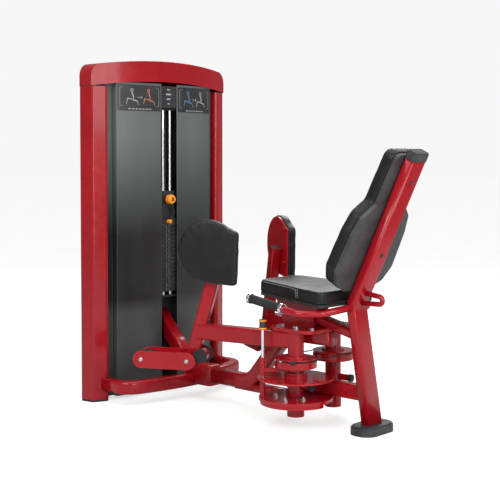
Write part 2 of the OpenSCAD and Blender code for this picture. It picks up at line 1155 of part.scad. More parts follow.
module arm_left() {
  color(red) {
    arm_solid();
    plunger_lug();
  }
}

module arm_right() {
  color(red)
    mirror([0, 1, 0])
      arm_solid();
}

module pad_outline(step) {
  translate([pad_cx, pad_cz])
    circle(r = pad_r - step, $fn = fine_fn);
  offset(r = 14 - step)
    offset(r = -14)
      polygon([[40, pad_cz + pad_r], [pad_cx + 20, pad_cz + pad_r - 1], [181, 750],
        [174, 528], [pad_cx + 30, 536], [40, pad_cz - pad_r]]);
}

module pad_slab(y, t, step) {
  leg_frame()
    translate([0, y, 0])
      rotate([90, 0, 0])
        linear_extrude(t)
          pad_outline(step);
}

module plate_solid() {
  pad_slab(-leg_b / 2 - gap, 6, 9);
  leg_frame()
    for (z = [600, 742])
      translate([138, -leg_b / 2 - gap, z])
        rotate([-90, 0, 0])
          cylinder(r = 9, h = 6);
}

module pad_plate_left() {
  color(red)
    plate_solid();
}

module pad_plate_right() {
  color(red)
    mirror([0, 1, 0])
      plate_solid();
}

module thigh_pad_left() {
  color(vinyl)
    pad_slab(-leg_b / 2 - 6 - 2 * gap, pad_t, 0);
}

module thigh_pad_right() {
  color(vinyl)
    mirror([0, 1, 0])
      pad_slab(-leg_b / 2 - 6 - 2 * gap, pad_t, 0);
}

module bar_slab(y, rear) {
  translate([0, y + bar_t, 0])
    rotate([90, 0, 0])
      linear_extrude(bar_t)
        translate([(bar_front + rear) / 2, bar_z])
          rsq(rear - bar_front + 2 * bar_r, 2 * bar_r, bar_r - 0.1);
}

module foot_bars_solid() {
  leg_frame() {
    difference() {
      bar_slab(bar_y, bar_rear);
      translate([bar_front, bar_y - 1, bar_z])
        rotate([-90, 0, 0])
          cylinder(r = axle_r + run, h = 20);
    }
    difference() {
      bar_slab(leg_b / 2 + gap, bar_rear - 23);
      translate([bar_front, 20, bar_z])
        rotate([-90, 0, 0])
          cylinder(r = axle_r + run, h = 20);
    }
    translate([bar_front, bar_y - 3, bar_z])
      rotate([-90, 0, 0])
        cylinder(r = axle_r, h = 116);
    for (x = [bar_front, bar_rear])
      translate([x, bar_y, bar_z])
        rotate([90, 0, 0])
          cylinder(r = axle_head_r, h = 4);
  }
}

module foot_bars_left() {
  color(red)
    foot_bars_solid();
}

module foot_bars_right() {
  color(red)
    mirror([0, 1, 0])
      foot_bars_solid();
}

module roller_solid() {
  leg_frame()
    difference() {
      translate([bar_front, bar_y + bar_t + 1, bar_z])
        rotate([-90, 0, 0])
          cylinder(r = 29, h = 92);
      translate([bar_front, bar_y, bar_z])
        rotate([-90, 0, 0])
          cylinder(r = axle_r + run, h = 120);
    }
}

module peg_solid() {
  leg_frame()
    difference() {
      translate([peg_x, 25, peg_z])
        rotate([-90, 0, 0])
          cylinder(r = 34, h = 19);
      translate([peg_x, 20, peg_z])
        rotate([-90, 0, 0])
          cylinder(r = 9 + run, h = 40);
    }
}

module cap_solid() {
  difference() {
    leg_tube(leg_a - 1, leg_b - 1, 9);
    translate([0, -700, 0])
      cube([900, 900, leg_z1 + gap]);
    translate([0, -700, leg_z1 + 9])
      cube([900, 900, 300]);
  }
  leg_frame()
    translate([peg_x, -44, peg_z])
      rotate([-90, 0, 0])
        cylinder(r = 29, h = 6 - gap);
  peg_solid();
  rubber_solid();
}

module rubber_solid() {
  translate([pivot_x, -pivot_y, stop_arm_z])
    rotate([0, 90, stop_arm_turn])
      translate([0, 0, stop_arm_len + gap])
        cylinder(r = 15, h = 14);
}

module foot_roller_left() {
  color(rubber)
    roller_solid();
}

module leg_caps_left() {
  color(rubber)
    cap_solid();
}

module foot_roller_right() {
  color(rubber)
    mirror([0, 1, 0])
      roller_solid();
}

module leg_caps_right() {
  color(rubber)
    mirror([0, 1, 0])
      cap_solid();
}

module plunger_frame() {
  translate([pivot_x, -pivot_y, 0])
    rotate([0, 0, plunger_turn])
      translate([plunger_r, 0, 0])
        children();
}

module plunger_rod() {
  color(chrome)
    plunger_frame()
      translate([0, 0, disc_z + disc_t + gap])
        cylinder(r = plunger_rod_r, h = plunger_knob_z - disc_z - disc_t - gap);
}

module plunger_knob() {
  color(black)
    plunger_frame()
      translate([0, 0, plunger_knob_z])
        difference() {
          union() {
            cylinder(r = 15.5, h = 9);
            translate([0, 0, 9])
              cylinder(r = 13.5, h = 22);
            translate([0, 0, 31])
              cylinder(r = 15.5, h = 8);
          }
          translate([0, 0, -1])
            cylinder(r = plunger_rod_r, h = 1);
        }
}

module stop_post() {
  color(red)
    plunger_frame()
      translate([0, 0, low_plate_z + plate_t + run])
        cylinder(r = 11, h = 66);
}

module cam_left() {
  cam(-1);
}

module cam_right() {
  cam(1);
}

placed() tower_post_left();
placed() tower_post_right();
placed() tower_cap();
placed() shroud_front_left();
placed() shroud_front_right();
placed() shroud_rear();
placed() placard_left();
placed() placard_right();
placed() slot_label();
placed() upper_frame();
placed() stack_riser();
placed() guide_rods();
placed() stack_bumpers();
placed() weight_plates();
placed() head_block();
placed() increment_knob();
placed() selector_pin();
placed() lanyard();
placed() top_sheave();
placed() low_sheave();
placed() sheave_axles();
placed() lift_cable();
placed() base_frame();
placed() tower_feet();
placed() low_plate();
placed() stop_post();
placed() frame_bolts();
placed() pivot_shafts();
placed() top_plate();
placed() rear_spine();
placed() rear_post();
placed() post_cap();
placed() rear_foot();
placed() rear_handle();
placed() seat_column();
placed() seat_board();
placed() seat_pad();
placed() back_shell();
placed() back_pad();
placed() handle_bars();
placed() hand_grips();
placed() grip_collars();
placed() drive_disc();
placed() cam_left();
placed() cam_right();
placed() link_cable();
placed() arm_left();
placed() arm_right();
placed() pad_plate_left();
placed() pad_plate_right();
placed() thigh_pad_left();
placed() thigh_pad_right();
placed() foot_bars_left();
placed() foot_bars_right();
placed() foot_roller_left();
placed() foot_roller_right();
placed() leg_caps_left();
placed() leg_caps_right();
placed() plunger_rod();
placed() plunger_knob();
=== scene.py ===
"""Looks for the seated hip machine: materials, upholstery, fittings, light and camera."""

import json
import math
import random

import bmesh
import bpy
from mathutils import Matrix, Vector
from mathutils.bvhtree import BVHTree
from mathutils.kdtree import KDTree


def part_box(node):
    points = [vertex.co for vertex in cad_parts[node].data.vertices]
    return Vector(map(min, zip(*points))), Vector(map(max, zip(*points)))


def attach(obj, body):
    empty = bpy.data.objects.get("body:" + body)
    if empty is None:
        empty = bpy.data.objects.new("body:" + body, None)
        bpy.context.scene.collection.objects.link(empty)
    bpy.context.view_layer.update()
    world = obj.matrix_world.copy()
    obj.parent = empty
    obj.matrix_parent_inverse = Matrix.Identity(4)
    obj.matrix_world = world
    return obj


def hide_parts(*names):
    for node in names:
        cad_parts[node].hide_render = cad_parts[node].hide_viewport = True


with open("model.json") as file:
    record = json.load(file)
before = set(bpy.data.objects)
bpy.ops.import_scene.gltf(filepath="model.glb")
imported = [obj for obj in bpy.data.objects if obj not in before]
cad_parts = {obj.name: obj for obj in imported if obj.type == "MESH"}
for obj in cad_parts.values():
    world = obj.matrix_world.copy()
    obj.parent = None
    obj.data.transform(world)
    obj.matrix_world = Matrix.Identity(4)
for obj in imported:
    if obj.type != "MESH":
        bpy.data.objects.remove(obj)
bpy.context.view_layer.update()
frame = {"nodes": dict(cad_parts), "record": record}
nodes = frame["nodes"]
joints = {j["name"]: j for j in frame["record"]["behaviour"]["joints"]}
dice = random.Random(11)

SEAT_TILT = math.radians(3.0)
BACK_LEAN = math.radians(25.5)
BRACE_TURN = math.radians(136.5)
GRIP_FALL = math.radians(8.6)
X, Y, Z = Vector((1, 0, 0)), Vector((0, 1, 0)), Vector((0, 0, 1))
SHROUD_BREAK = 0.42
PIVOT_REACH = 0.895
LOOP_W, LOOP_H, LOOP_Z = 0.050, 0.058, 0.045
LOOP_FRONT, LOOP_ARC, LOOP_CORNER, LOOP_START = 0.232, 0.985, 0.090, 0.0045
BLOCK, BLOCK_Z, BLOCK_HALF = (0.225, 0.340), (0.060, 0.148), 0.038
NECK_LOW, NECK_HIGH, NECK_END = 0.106, 0.340, 0.985
hub_x = sum(corner.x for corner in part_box("pivot_shafts")) / 2


# ---------------------------------------------------------------- materials
class Paint:
    """A Principled material whose inputs are built up from noise, one line each."""

    def __init__(self, name, rough, metallic=0.0, coat=0.0, specular=0.5):
        self.mat = bpy.data.materials.new(name)
        self.mat.use_nodes = True
        self.tree = self.mat.node_tree
        self.bsdf = self.tree.nodes["Principled BSDF"]
        self.bsdf.inputs["Roughness"].default_value = rough
        self.bsdf.inputs["Metallic"].default_value = metallic
        self.bsdf.inputs["Coat Weight"].default_value = coat
        self.bsdf.inputs["Coat Roughness"].default_value = 0.08
        self.bsdf.inputs["Specular IOR Level"].default_value = specular
        self.where = self.node("ShaderNodeTexCoord").outputs["Object"]
        self.height = None

    def node(self, kind, **values):
        made = self.tree.nodes.new(kind)
        for key, value in values.items():
            setattr(made, key, value)
        return made

    def link(self, out, into):
        self.tree.links.new(out, into)

    def stretched(self, scale):
        made = self.node("ShaderNodeMapping")
        made.inputs["Scale"].default_value = scale
        self.link(self.where, made.inputs["Vector"])
        return made.outputs["Vector"]

    def noise(self, scale, detail=4.0, rough=0.6, stretch=None):
        made = self.node("ShaderNodeTexNoise")
        made.inputs["Scale"].default_value = scale
        made.inputs["Detail"].default_value = detail
        made.inputs["Roughness"].default_value = rough
        self.link(self.stretched(stretch) if stretch else self.where, made.inputs["Vector"])
        return made.outputs["Fac"]

    def cells(self, scale, feature="F1"):
        made = self.node("ShaderNodeTexVoronoi", feature=feature)
        made.inputs["Scale"].default_value = scale
        self.link(self.where, made.inputs["Vector"])
        return made.outputs["Distance"]

    def ramp(self, fac, low, high, start=0.35, end=0.65):
        made = self.node("ShaderNodeMapRange")
        made.inputs["From Min"].default_value = start
        made.inputs["From Max"].default_value = end
        made.inputs["To Min"].default_value = low
        made.inputs["To Max"].default_value = high
        self.link(fac, made.inputs["Value"])
        return made.outputs["Result"]

    def mix(self, fac, a, b):
        made = self.node("ShaderNodeMix", data_type="RGBA")
        for socket, value in ((6, a), (7, b)):
            if isinstance(value, tuple):
                made.inputs[socket].default_value = (*value, 1.0)
            else:
                self.link(value, made.inputs[socket])
        if isinstance(fac, float):
            made.inputs[0].default_value = fac
        else:
            self.link(fac, made.inputs[0])
        return made.outputs[2]

    def axis(self, name):
        made = self.node("ShaderNodeSeparateXYZ")
        self.link(self.where, made.inputs[0])
        return made.outputs[name]

    def edges(self, radius):
        """1 on sharp edges and 0 on flats, from the difference between two normals."""
        soft = self.node("ShaderNodeBevel", samples=4)
        soft.inputs["Radius"].default_value = radius
        geo = self.node("ShaderNodeNewGeometry")
        dot = self.node("ShaderNodeVectorMath", operation="DOT_PRODUCT")
        self.link(soft.outputs["Normal"], dot.inputs[0])
        self.link(geo.outputs["Normal"], dot.inputs[1])
        return self.ramp(dot.outputs["Value"], 1.0, 0.0, 0.86, 0.995)

    def colour(self, out):
        self.link(out, self.bsdf.inputs["Base Color"])

    def rough(self, out):
        self.link(out, self.bsdf.inputs["Roughness"])

    def bump(self, out, depth, strength=1.0):
        made = self.node("ShaderNodeBump")
        made.inputs["Distance"].default_value = depth
        made.inputs["Strength"].default_value = strength
        self.link(out, made.inputs["Height"])
        if self.height is not None:
            self.link(self.height, made.inputs["Normal"])
        self.height = made.outputs["Normal"]
        self.link(self.height, self.bsdf.inputs["Normal"])


def red_paint():
    """Gloss powder coat: faint orange peel, cloudy tone, and a painted highlight that makes it brighter
    along edges.
    """
    m = Paint("red_paint", 0.24, coat=0.3, specular=0.32)
    cloud = m.ramp(m.noise(4, 3), 0.0, 1.0)
    base = m.mix(cloud, (0.29, 0.0018, 0.0065), (0.345, 0.003, 0.0095))
    # painted highlight: edges mixed toward a paler red
    m.colour(m.mix(m.edges(0.003), base, (0.62, 0.03, 0.04)))
    m.rough(m.ramp(m.noise(26, 5), 0.2, 0.3))
    m.bump(m.noise(420, 2, 0.4), 0.00003, 0.2)
    return m.mat


def charcoal():
    """Moulded gloss sheet with painted reflections: paler near its top and below the break, drawn-out cloudy
    streaks, and a painted highlight along edges.
    """
    m = Paint("charcoal_shroud", 0.32, coat=0.1, specular=0.45)
    # painted reflection: colour lighter toward the top
    painted_top_reflection = m.ramp(m.axis("Z"), 0.0, 1.0, 0.72, 1.15)
    base = m.mix(painted_top_reflection, (0.012, 0.013, 0.0145), (0.13, 0.145, 0.14))
    # painted reflection: paler colour below the shroud break
    low = m.ramp(m.axis("Z"), 0.7, 0.0, SHROUD_BREAK - 0.05, SHROUD_BREAK + 0.01)
    base = m.mix(low, base, (0.075, 0.08, 0.08))
    streak = m.ramp(m.noise(5, 2, 0.5, (1, 1, 0.12)), 0.0, 0.35)
    base = m.mix(streak, base, (0.045, 0.049, 0.05))
    # painted highlight: edges mixed toward a lighter grey
    m.colour(m.mix(m.edges(0.003), base, (0.16, 0.17, 0.17)))
    m.rough(m.ramp(m.noise(9, 3), 0.3, 0.4))
    m.bump(m.noise(900, 2, 0.5), 0.00003, 0.3)
    return m.mat


def plastic(name, dark, light, low, high, grain, depth, coat=0.0, edge=0.25):
    """Moulded plastic or rubber with a fine spark-eroded grain."""
    m = Paint(name, low, coat=coat)
    base = m.mix(m.ramp(m.noise(14, 4), 0.0, 1.0), dark, light)
    # painted highlight: edges lifted toward a paler copy of the light tone, scaled by the edge amount
    edge_highlight_tone = tuple(min(1.0, c * 1.7 + 0.012) for c in light)
    m.colour(m.mix(m.ramp(m.edges(0.002), 0.0, edge, 0.0, 1.0), base, edge_highlight_tone))
    m.rough(m.ramp(m.noise(60, 5), low, high))
    m.bump(m.noise(grain, 3, 0.7), depth, 0.5)
    return m.mat


def metal(name, dark, light, low, high, stretch, depth):
    """Plated or turned metal with fine drawn lines and faint smudges."""
    m = Paint(name, low, metallic=1.0)
    m.colour(m.mix(m.ramp(m.noise(18, 4), 0.0, 1.0), dark, light))
    lines = m.noise(340, 3, 0.6, stretch)
    m.rough(m.ramp(lines, low, high, 0.3, 0.7))
    m.bump(lines, depth, 0.4)
    return m.mat


def cast_iron():
    """Painted cast plates with a pebbled skin and a painted highlight paler along edges."""
    m = Paint("stack_iron", 0.45)
    base = m.mix(m.ramp(m.noise(22, 5), 0.0, 1.0), (0.008, 0.008, 0.009), (0.022, 0.022, 0.024))
    # painted highlight: edges mixed toward a paler grey
    m.colour(m.mix(m.edges(0.002), base, (0.12, 0.12, 0.125)))
    m.rough(m.ramp(m.noise(50, 5), 0.36, 0.58))
    m.bump(m.cells(420), 0.0002, 0.5)
    return m.mat


def vinyl():
    """Upholstery vinyl: pebble grain, soft creases and a satin sheen."""
    m = Paint("vinyl", 0.42, specular=0.34)
    tone = m.ramp(m.noise(9, 5, 0.62), 0.0, 1.0)
    base = m.mix(tone, (0.008, 0.008, 0.0088), (0.0155, 0.0155, 0.017))
    # painted shade: colour darker at the centres of the grain pores
    painted_pore_shade = m.ramp(m.cells(760), 0.0, 0.5, 0.0, 0.5)
    m.colour(m.mix(painted_pore_shade, (0.0045, 0.0045, 0.005), base))
    m.rough(m.ramp(m.noise(16, 6, 0.65), 0.33, 0.5))
    m.bump(m.noise(46, 4, 0.6), 0.0007, 0.3)
    m.bump(m.cells(760, "SMOOTH_F1"), 0.00032, 0.55)
    m.bsdf.inputs["Sheen Weight"].default_value = 0.04
    m.bsdf.inputs["Sheen Roughness"].default_value = 0.4
    return m.mat


def thread(name, dark, light):
    """Twisted sewing thread or braided cord."""
    m = Paint(name, 0.6)
    twist = m.noise(900, 2, 0.5, (1, 1, 0.4))
    m.colour(m.mix(m.ramp(twist, 0.0, 1.0), dark, light))
    m.rough(m.ramp(m.noise(200, 3), 0.5, 0.72))
    m.bump(twist, 0.0002, 0.7)
    return m.mat


def board():
    """Black-stained plywood edge and underside."""
    m = Paint("board", 0.7)
    grain = m.noise(60, 5, 0.7, (1, 1, 9))
    m.colour(m.mix(m.ramp(grain, 0.0, 1.0), (0.012, 0.011, 0.01), (0.035, 0.03, 0.026)))
    m.rough(m.ramp(grain, 0.6, 0.82))
    m.bump(grain, 0.0003, 0.5)
    return m.mat


def printed(name, dark, light):
    """Screen-printed ink with a slightly uneven coat."""
    m = Paint(name, 0.5)
    m.colour(m.mix(m.ramp(m.noise(120, 4), 0.0, 1.0), dark, light))
    m.rough(m.ramp(m.noise(300, 3), 0.42, 0.6))
    m.bump(m.noise(900, 2), 0.00005, 0.4)
    return m.mat


LOOKS = {
    "red_paint": red_paint(),
    "charcoal_shroud": charcoal(),
    "placard": plastic("placard", (0.02, 0.02, 0.022), (0.034, 0.034, 0.037), 0.3, 0.42, 900, 0.00006, 0.2),
    "black_frame": plastic("black_frame", (0.008, 0.008, 0.009), (0.018, 0.018, 0.02),
                           0.42, 0.6, 300, 0.0002),
    "chrome": metal("chrome", (0.84, 0.85, 0.87), (0.93, 0.94, 0.95), 0.06, 0.16, (1, 1, 0.05), 0.00004),
    "black_rubber": plastic("black_rubber", (0.008, 0.008, 0.008), (0.018, 0.018, 0.019),
                            0.55, 0.78, 420, 0.0004),
    "stack_iron": cast_iron(),
    "knob_orange": plastic("knob_orange", (0.84, 0.25, 0.005), (0.92, 0.34, 0.015),
                           0.28, 0.42, 500, 0.0001, 0.3, 0.4),
    "cord": thread("cord", (0.006, 0.006, 0.006), (0.02, 0.02, 0.021)),
    "dark_plastic": plastic("dark_plastic", (0.022, 0.023, 0.025), (0.045, 0.046, 0.05),
                            0.42, 0.58, 700, 0.00022),
    "steel": metal("steel", (0.5, 0.5, 0.52), (0.68, 0.68, 0.7), 0.2, 0.38, (1, 1, 1), 0.00008),
    "vinyl": vinyl(),
    "board": board(),
    "grey_shell": plastic("grey_shell", (0.03, 0.032, 0.035), (0.05, 0.053, 0.057), 0.38, 0.52, 800, 0.0002),
}
PIPE = plastic("vinyl_welt", (0.006, 0.006, 0.0065), (0.013, 0.013, 0.014), 0.34, 0.46, 900, 0.00012)
STITCH = thread("stitch_thread", (0.34, 0.34, 0.35), (0.58, 0.58, 0.59))
INK_PALE = printed("ink_pale", (0.3, 0.31, 0.32), (0.42, 0.43, 0.44))
BEZEL = printed("bezel_grey", (0.1, 0.103, 0.107), (0.16, 0.165, 0.17))
INK_BLUE = printed("ink_blue", (0.05, 0.16, 0.34), (0.1, 0.26, 0.46))
INK_WARM = printed("ink_warm", (0.42, 0.12, 0.08), (0.56, 0.2, 0.13))


# ---------------------------------------------------------------- mesh tools
def piece(name, verts, faces, look, body, smooth=True):
    mesh = bpy.data.meshes.new(name)
    mesh.from_pydata([tuple(v) for v in verts], [], faces)
    mesh.validate()
    bm = bmesh.new()
    bm.from_mesh(mesh)
    bmesh.ops.recalc_face_normals(bm, faces=bm.faces)
    bm.to_mesh(mesh)
    bm.free()
    obj = bpy.data.objects.new(name, mesh)
    bpy.context.scene.collection.objects.link(obj)
    mesh.materials.append(look)
    for poly in mesh.polygons:
        poly.use_smooth = smooth
    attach(obj, body)
    return obj


class Build:
    """Collects several lofted solids into one mesh."""

    def __init__(self):
        self.verts, self.faces = [], []

    def loft(self, rings, closed=False):
        """Skins rings of equal length; open lofts get flat ends."""
        base, count = len(self.verts), len(rings[0])
        for ring in rings:
            self.verts.extend(ring)
        spans = len(rings) if closed else len(rings) - 1
        for i in range(spans):
            a, b = base + i * count, base + (i + 1) % len(rings) * count
            for k in range(count):
                n = (k + 1) % count
                self.faces.append((a + k, a + n, b + n, b + k))
        if not closed:
            self.faces.append(tuple(range(base + count - 1, base - 1, -1)))
            last = base + (len(rings) - 1) * count
            self.faces.append(tuple(range(last, last + count)))

    def make(self, name, look, body, slot=None, smooth=True):
        return piece(name, self.verts, self.faces, look, body, smooth)


def round_rect(a, b, r, steps=5):
    """Points of a rounded rectangle a by b."""
    out = []
    for cx, cy, start in ((1, 1, 0), (-1, 1, 90), (-1, -1, 180), (1, -1, 270)):
        for i in range(steps + 1):
            t = math.radians(start + 90 * i / steps)
            out.append((cx * (a / 2 - r) + r * math.cos(t), cy * (b / 2 - r) + r * math.sin(t)))
    return out


def circle(r, count=20):
    return [(r * math.cos(2 * math.pi * i / count), r * math.sin(2 * math.pi * i / count))
            for i in range(count)]


def bent(points, radius, steps=8):
    """Polyline with its inner corners turned into arcs."""
    points = [Vector(p) for p in points]
    out = [points[0]]
    for a, b, c in zip(points, points[1:], points[2:]):
        u, v = (a - b).normalized(), (c - b).normalized()
        half = u.angle(v) / 2
        if half > math.radians(89):
            out.append(b)
            continue
        cut = min(radius / math.tan(half), (a - b).length * 0.49, (c - b).length * 0.49)
        r = cut * math.tan(half)
        centre = b + (u + v).normalized() * (r / math.sin(half))
        start, end = b + u * cut - centre, b + v * cut - centre
        turn = start.angle(end)
        spin = start.cross(end).normalized()
        for i in range(steps + 1):
            out.append(centre + Matrix.Rotation(turn * i / steps, 3, spin) @ start)
    out.append(points[-1])
    return out


def swept(points, outline, closed=False, side=None, scale=None):
    """Rings of an outline carried along a path; side fixes the outline's first axis."""
    count = len(points)
    rings, ref = [], None
    for i, p in enumerate(points):
        if closed:
            ahead = (points[(i + 1) % count] - points[i - 1]).normalized()
        else:
            ahead = (points[min(i + 1, count - 1)] - points[max(i - 1, 0)]).normalized()
        if side is not None:
            u = (side - ahead * side.dot(ahead)).normalized()
        else:
            if ref is None:
                ref = ahead.orthogonal()
            u = (ref - ahead * ref.dot(ahead)).normalized()
            ref = u
        v = ahead.cross(u)
        s = scale(i / max(count - 1, 1)) if scale else 1.0
        rings.append([p + (u * x + v * y) * s for x, y in outline])
    return rings


def turned(origin, axis, profile, count=32):
    """Rings of a turned solid: profile is (height, radius) pairs from one pole to the other."""
    axis = axis.normalized()
    u = axis.orthogonal().normalized()
    v = axis.cross(u)
    return [[origin + axis * h + (u * math.cos(2 * math.pi * k / count)
                                  + v * math.sin(2 * math.pi * k / count)) * max(r, 1e-5)
             for k in range(count)] for h, r in profile]


def tree_of(obj):
    mesh = obj.data
    return BVHTree.FromPolygons([v.co.copy() for v in mesh.vertices],
                                [tuple(p.vertices) for p in mesh.polygons])


def basis(normal, up):
    """Rotation whose columns are in-plane up, in-plane side, and the normal."""
    w = normal.normalized()
    u = (up - w * up.dot(w)).normalized()
    v = w.cross(u)
    return Matrix((u, v, w)).transposed()


def rim(node, turn, top=True):
    """Outline of a node's flat end along the basis normal, ordered round its middle."""
    local = [turn.transposed() @ v.co for v in nodes[node].data.vertices]
    level = max(p.z for p in local) if top else min(p.z for p in local)
    ring = {}
    for p in local:
        if abs(p.z - level) < 1e-4:
            ring[(round(p.x, 5), round(p.y, 5))] = p
    ring = list(ring.values())
    mid = sum(ring, Vector()) / len(ring)
    ring.sort(key=lambda p: math.atan2(p.y - mid.y, p.x - mid.x))
    return ring, mid, level


def even(loop, gap):
    """Closed loop resampled at an even spacing."""
    lengths = [(loop[(i + 1) % len(loop)] - loop[i]).length for i in range(len(loop))]
    total = sum(lengths)
    count = max(8, round(total / gap))
    out, i, walked = [], 0, 0.0
    for k in range(count):
        want = total * k / count
        while walked + lengths[i] < want:
            walked += lengths[i]
            i += 1
        t = (want - walked) / max(lengths[i], 1e-9)
        out.append(loop[i].lerp(loop[(i + 1) % len(loop)], t))
    return out


def inset(loop, amount):
    """Loop moved inward, in its own plane."""
    out = []
    for i, p in enumerate(loop):
        along = loop[(i + 2) % len(loop)] - loop[i - 2]
        inward = Vector((-along.y, along.x, 0)).normalized()
        out.append(p + inward * amount)
    return out


def eased(loop, rounds):
    """Closed loop with its corners eased."""
    for _ in range(rounds):
        loop = [(loop[i - 1] + loop[i] * 2 + loop[(i + 1) % len(loop)]) / 4 for i in range(len(loop))]
    return loop


# ---------------------------------------------------------------- upholstery
def apply_all(obj):
    graph = bpy.context.evaluated_depsgraph_get()
    mesh = bpy.data.meshes.new_from_object(obj.evaluated_get(graph))
    obj.modifiers.clear()
    old = obj.data
    obj.data = mesh
    bpy.data.meshes.remove(old)


def blown(obj, thick, cap, seams):
    """Cloth pressure swells the cushion; its mounting face and seams hold it in."""
    mesh = obj.data
    start = [v.co.copy() for v in mesh.vertices]
    pins = obj.vertex_groups.new(name="pin")
    for v in mesh.vertices:
        if v.co.z < thick * 0.1:
            pins.add([v.index], 1.0, "REPLACE")
    mod = obj.modifiers.new("Cloth", "CLOTH")
    cloth = mod.settings
    cloth.quality = 5
    cloth.mass = 0.4
    cloth.tension_stiffness = cloth.compression_stiffness = 60.0
    cloth.shear_stiffness = 30.0
    cloth.bending_stiffness = 25.0
    cloth.air_damping = 4.0
    cloth.use_pressure = True
    cloth.uniform_pressure_force = 1.4
    cloth.vertex_group_mass = "pin"
    cloth.effector_weights.gravity = 0.0
    mod.collision_settings.use_collision = False
    scene = bpy.context.scene
    scene.frame_start, scene.frame_end = 1, 20
    for number in range(1, 21):
        scene.frame_set(number)
    graph = bpy.context.evaluated_depsgraph_get()
    solved = obj.evaluated_get(graph).to_mesh()
    moved = [v.co.copy() for v in solved.vertices]
    obj.evaluated_get(graph).to_mesh_clear()
    obj.modifiers.clear()
    scene.frame_set(1)
    for v, a, b in zip(mesh.vertices, start, moved):
        step = b - a
        limit = cap
        for reach, depth, near in seams:
            gap = near(a)
            if gap < reach:
                limit = min(limit, cap * gap / reach)
        if step.length > limit:
            step *= limit / step.length
        v.co = a + step
    obj.vertex_groups.clear()
    taut = obj.modifiers.new("Taut", "SMOOTH")
    taut.factor = 0.5
    taut.iterations = 6
    apply_all(obj)


def cushion(name, node, turn, body, voxel, side_in, top_in, cap, seams=(), ease=4):
    """The CAD soft solid as a remeshed, pressure-blown and subdivided cushion."""
    mesh = nodes[node].data.copy()
    mesh.transform(turn.transposed().to_4x4())
    obj = bpy.data.objects.new(name, mesh)
    bpy.context.scene.collection.objects.link(obj)
    xs, ys, zs = ([v.co[i] for v in mesh.vertices] for i in range(3))
    mid = Vector(((min(xs) + max(xs)) / 2, (min(ys) + max(ys)) / 2, min(zs)))
    thick = max(zs) - min(zs)
    shrink = Vector((1 - 2 * side_in / (max(xs) - min(xs)), 1 - 2 * side_in / (max(ys) - min(ys)),
                     1 - top_in / thick))
    for v in mesh.vertices:
        v.co = Vector(((v.co.x - mid.x) * shrink.x, (v.co.y - mid.y) * shrink.y,
                       (v.co.z - mid.z) * shrink.z))
    remesh = obj.modifiers.new("Remesh", "REMESH")
    remesh.mode = "VOXEL"
    remesh.voxel_size = voxel
    apply_all(obj)
    smooth = obj.modifiers.new("Smooth", "SMOOTH")
    smooth.factor = 0.5
    smooth.iterations = ease
    apply_all(obj)
    blown(obj, thick, cap, seams)
    floor = [v for v in obj.data.vertices if v.co.z < thick * 0.12]
    for v in floor:
        v.co.z = max(v.co.z, 0.0)
    finer = obj.modifiers.new("Subdivision", "SUBSURF")
    finer.levels = finer.render_levels = 1
    apply_all(obj)
    obj.data.transform(Matrix.Translation(mid))
    obj.data.transform(turn.to_4x4())
    obj.data.materials.clear()
    obj.data.materials.append(LOOKS["vinyl"])
    for poly in obj.data.polygons:
        poly.use_smooth = True
    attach(obj, body)
    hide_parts(node)
    return obj


def press(obj, line, reach, depth):
    """Sinks the surface into a channel along a line of world points."""
    kd = KDTree(len(line))
    for i, p in enumerate(line):
        kd.insert(p, i)
    kd.balance()
    normals = [v.normal.copy() for v in obj.data.vertices]
    for v, n in zip(obj.data.vertices, normals):
        gap = kd.find(v.co)[2]
        if gap < reach:
            v.co -= n * depth * (0.5 + 0.5 * math.cos(math.pi * gap / reach))


def laid(tree, points, lift=0.0):
    """Points dropped to the nearest place on a surface, with the normals there."""
    out = []
    for p in points:
        at, normal, _, _ = tree.find_nearest(p)
        out.append((at + normal * lift, normal))
    return out


def welt(build, tree, points, radius, closed, sink=0.35):
    """Round piping laid on a surface along a line."""
    path = [p for p, _ in laid(tree, points, radius * (1 - sink))]
    build.loft(swept(path, circle(radius, 8), closed), closed)


STITCH_SHAPE = ((-0.5, 0.3), (-0.32, 0.85), (0.0, 1.0), (0.32, 0.85), (0.5, 0.3))


def stitches(build, tree, points, offset, length=0.0042, gap=0.0026, closed=False):
    """A row of sewn stitches beside a line on a surface."""
    spots = laid(tree, points, 0.0003)
    walked, due = 0.0, 0.0
    count = len(spots)
    for i in range(count if closed else count - 1):
        a, na = spots[i]
        b, nb = spots[(i + 1) % count]
        span = (b - a).length
        if span < 1e-6:
            continue
        ahead = (b - a) / span
        while due < walked + span:
            t = (due - walked) / span
            normal = na.lerp(nb, t).normalized()
            side = ahead.cross(normal).normalized()
            centre = a.lerp(b, t) + side * offset
            hit = tree.find_nearest(centre)
            centre = hit[0] + hit[1] * 0.0002
            rings = []
            for f, r in STITCH_SHAPE:
                spot = centre + ahead * f * length
                rings.append([spot + (side * x * 0.0012 + hit[1] * y * 0.0009) * r
                              for x, y in circle(1.0, 6)])
            build.loft(rings)
            due += length + gap
        walked += span


# ---------------------------------------------------------------- CAD nodes
def dressed(node, look, width=0.0012, segments=2, sharp=32.0):
    """A CAD node kept as it is, with eased edges and a proper finish."""
    obj = nodes[node]
    obj.data.materials.clear()
    obj.data.materials.append(look)
    for poly in obj.data.polygons:
        poly.use_smooth = True
    weld = obj.modifiers.new("Weld", "WELD")
    weld.merge_threshold = 2e-5
    if width:
        bevel = obj.modifiers.new("Bevel", "BEVEL")
        bevel.width = width
        bevel.segments = segments
        bevel.limit_method = "ANGLE"
        bevel.angle_limit = math.radians(sharp)
        bevel.harden_normals = False
        bevel.use_clamp_overlap = True
        bevel.miter_outer = "MITER_ARC"
    level = obj.modifiers.new("Normals", "WEIGHTED_NORMAL")
    level.weight = 80
    level.keep_sharp = False
    return obj


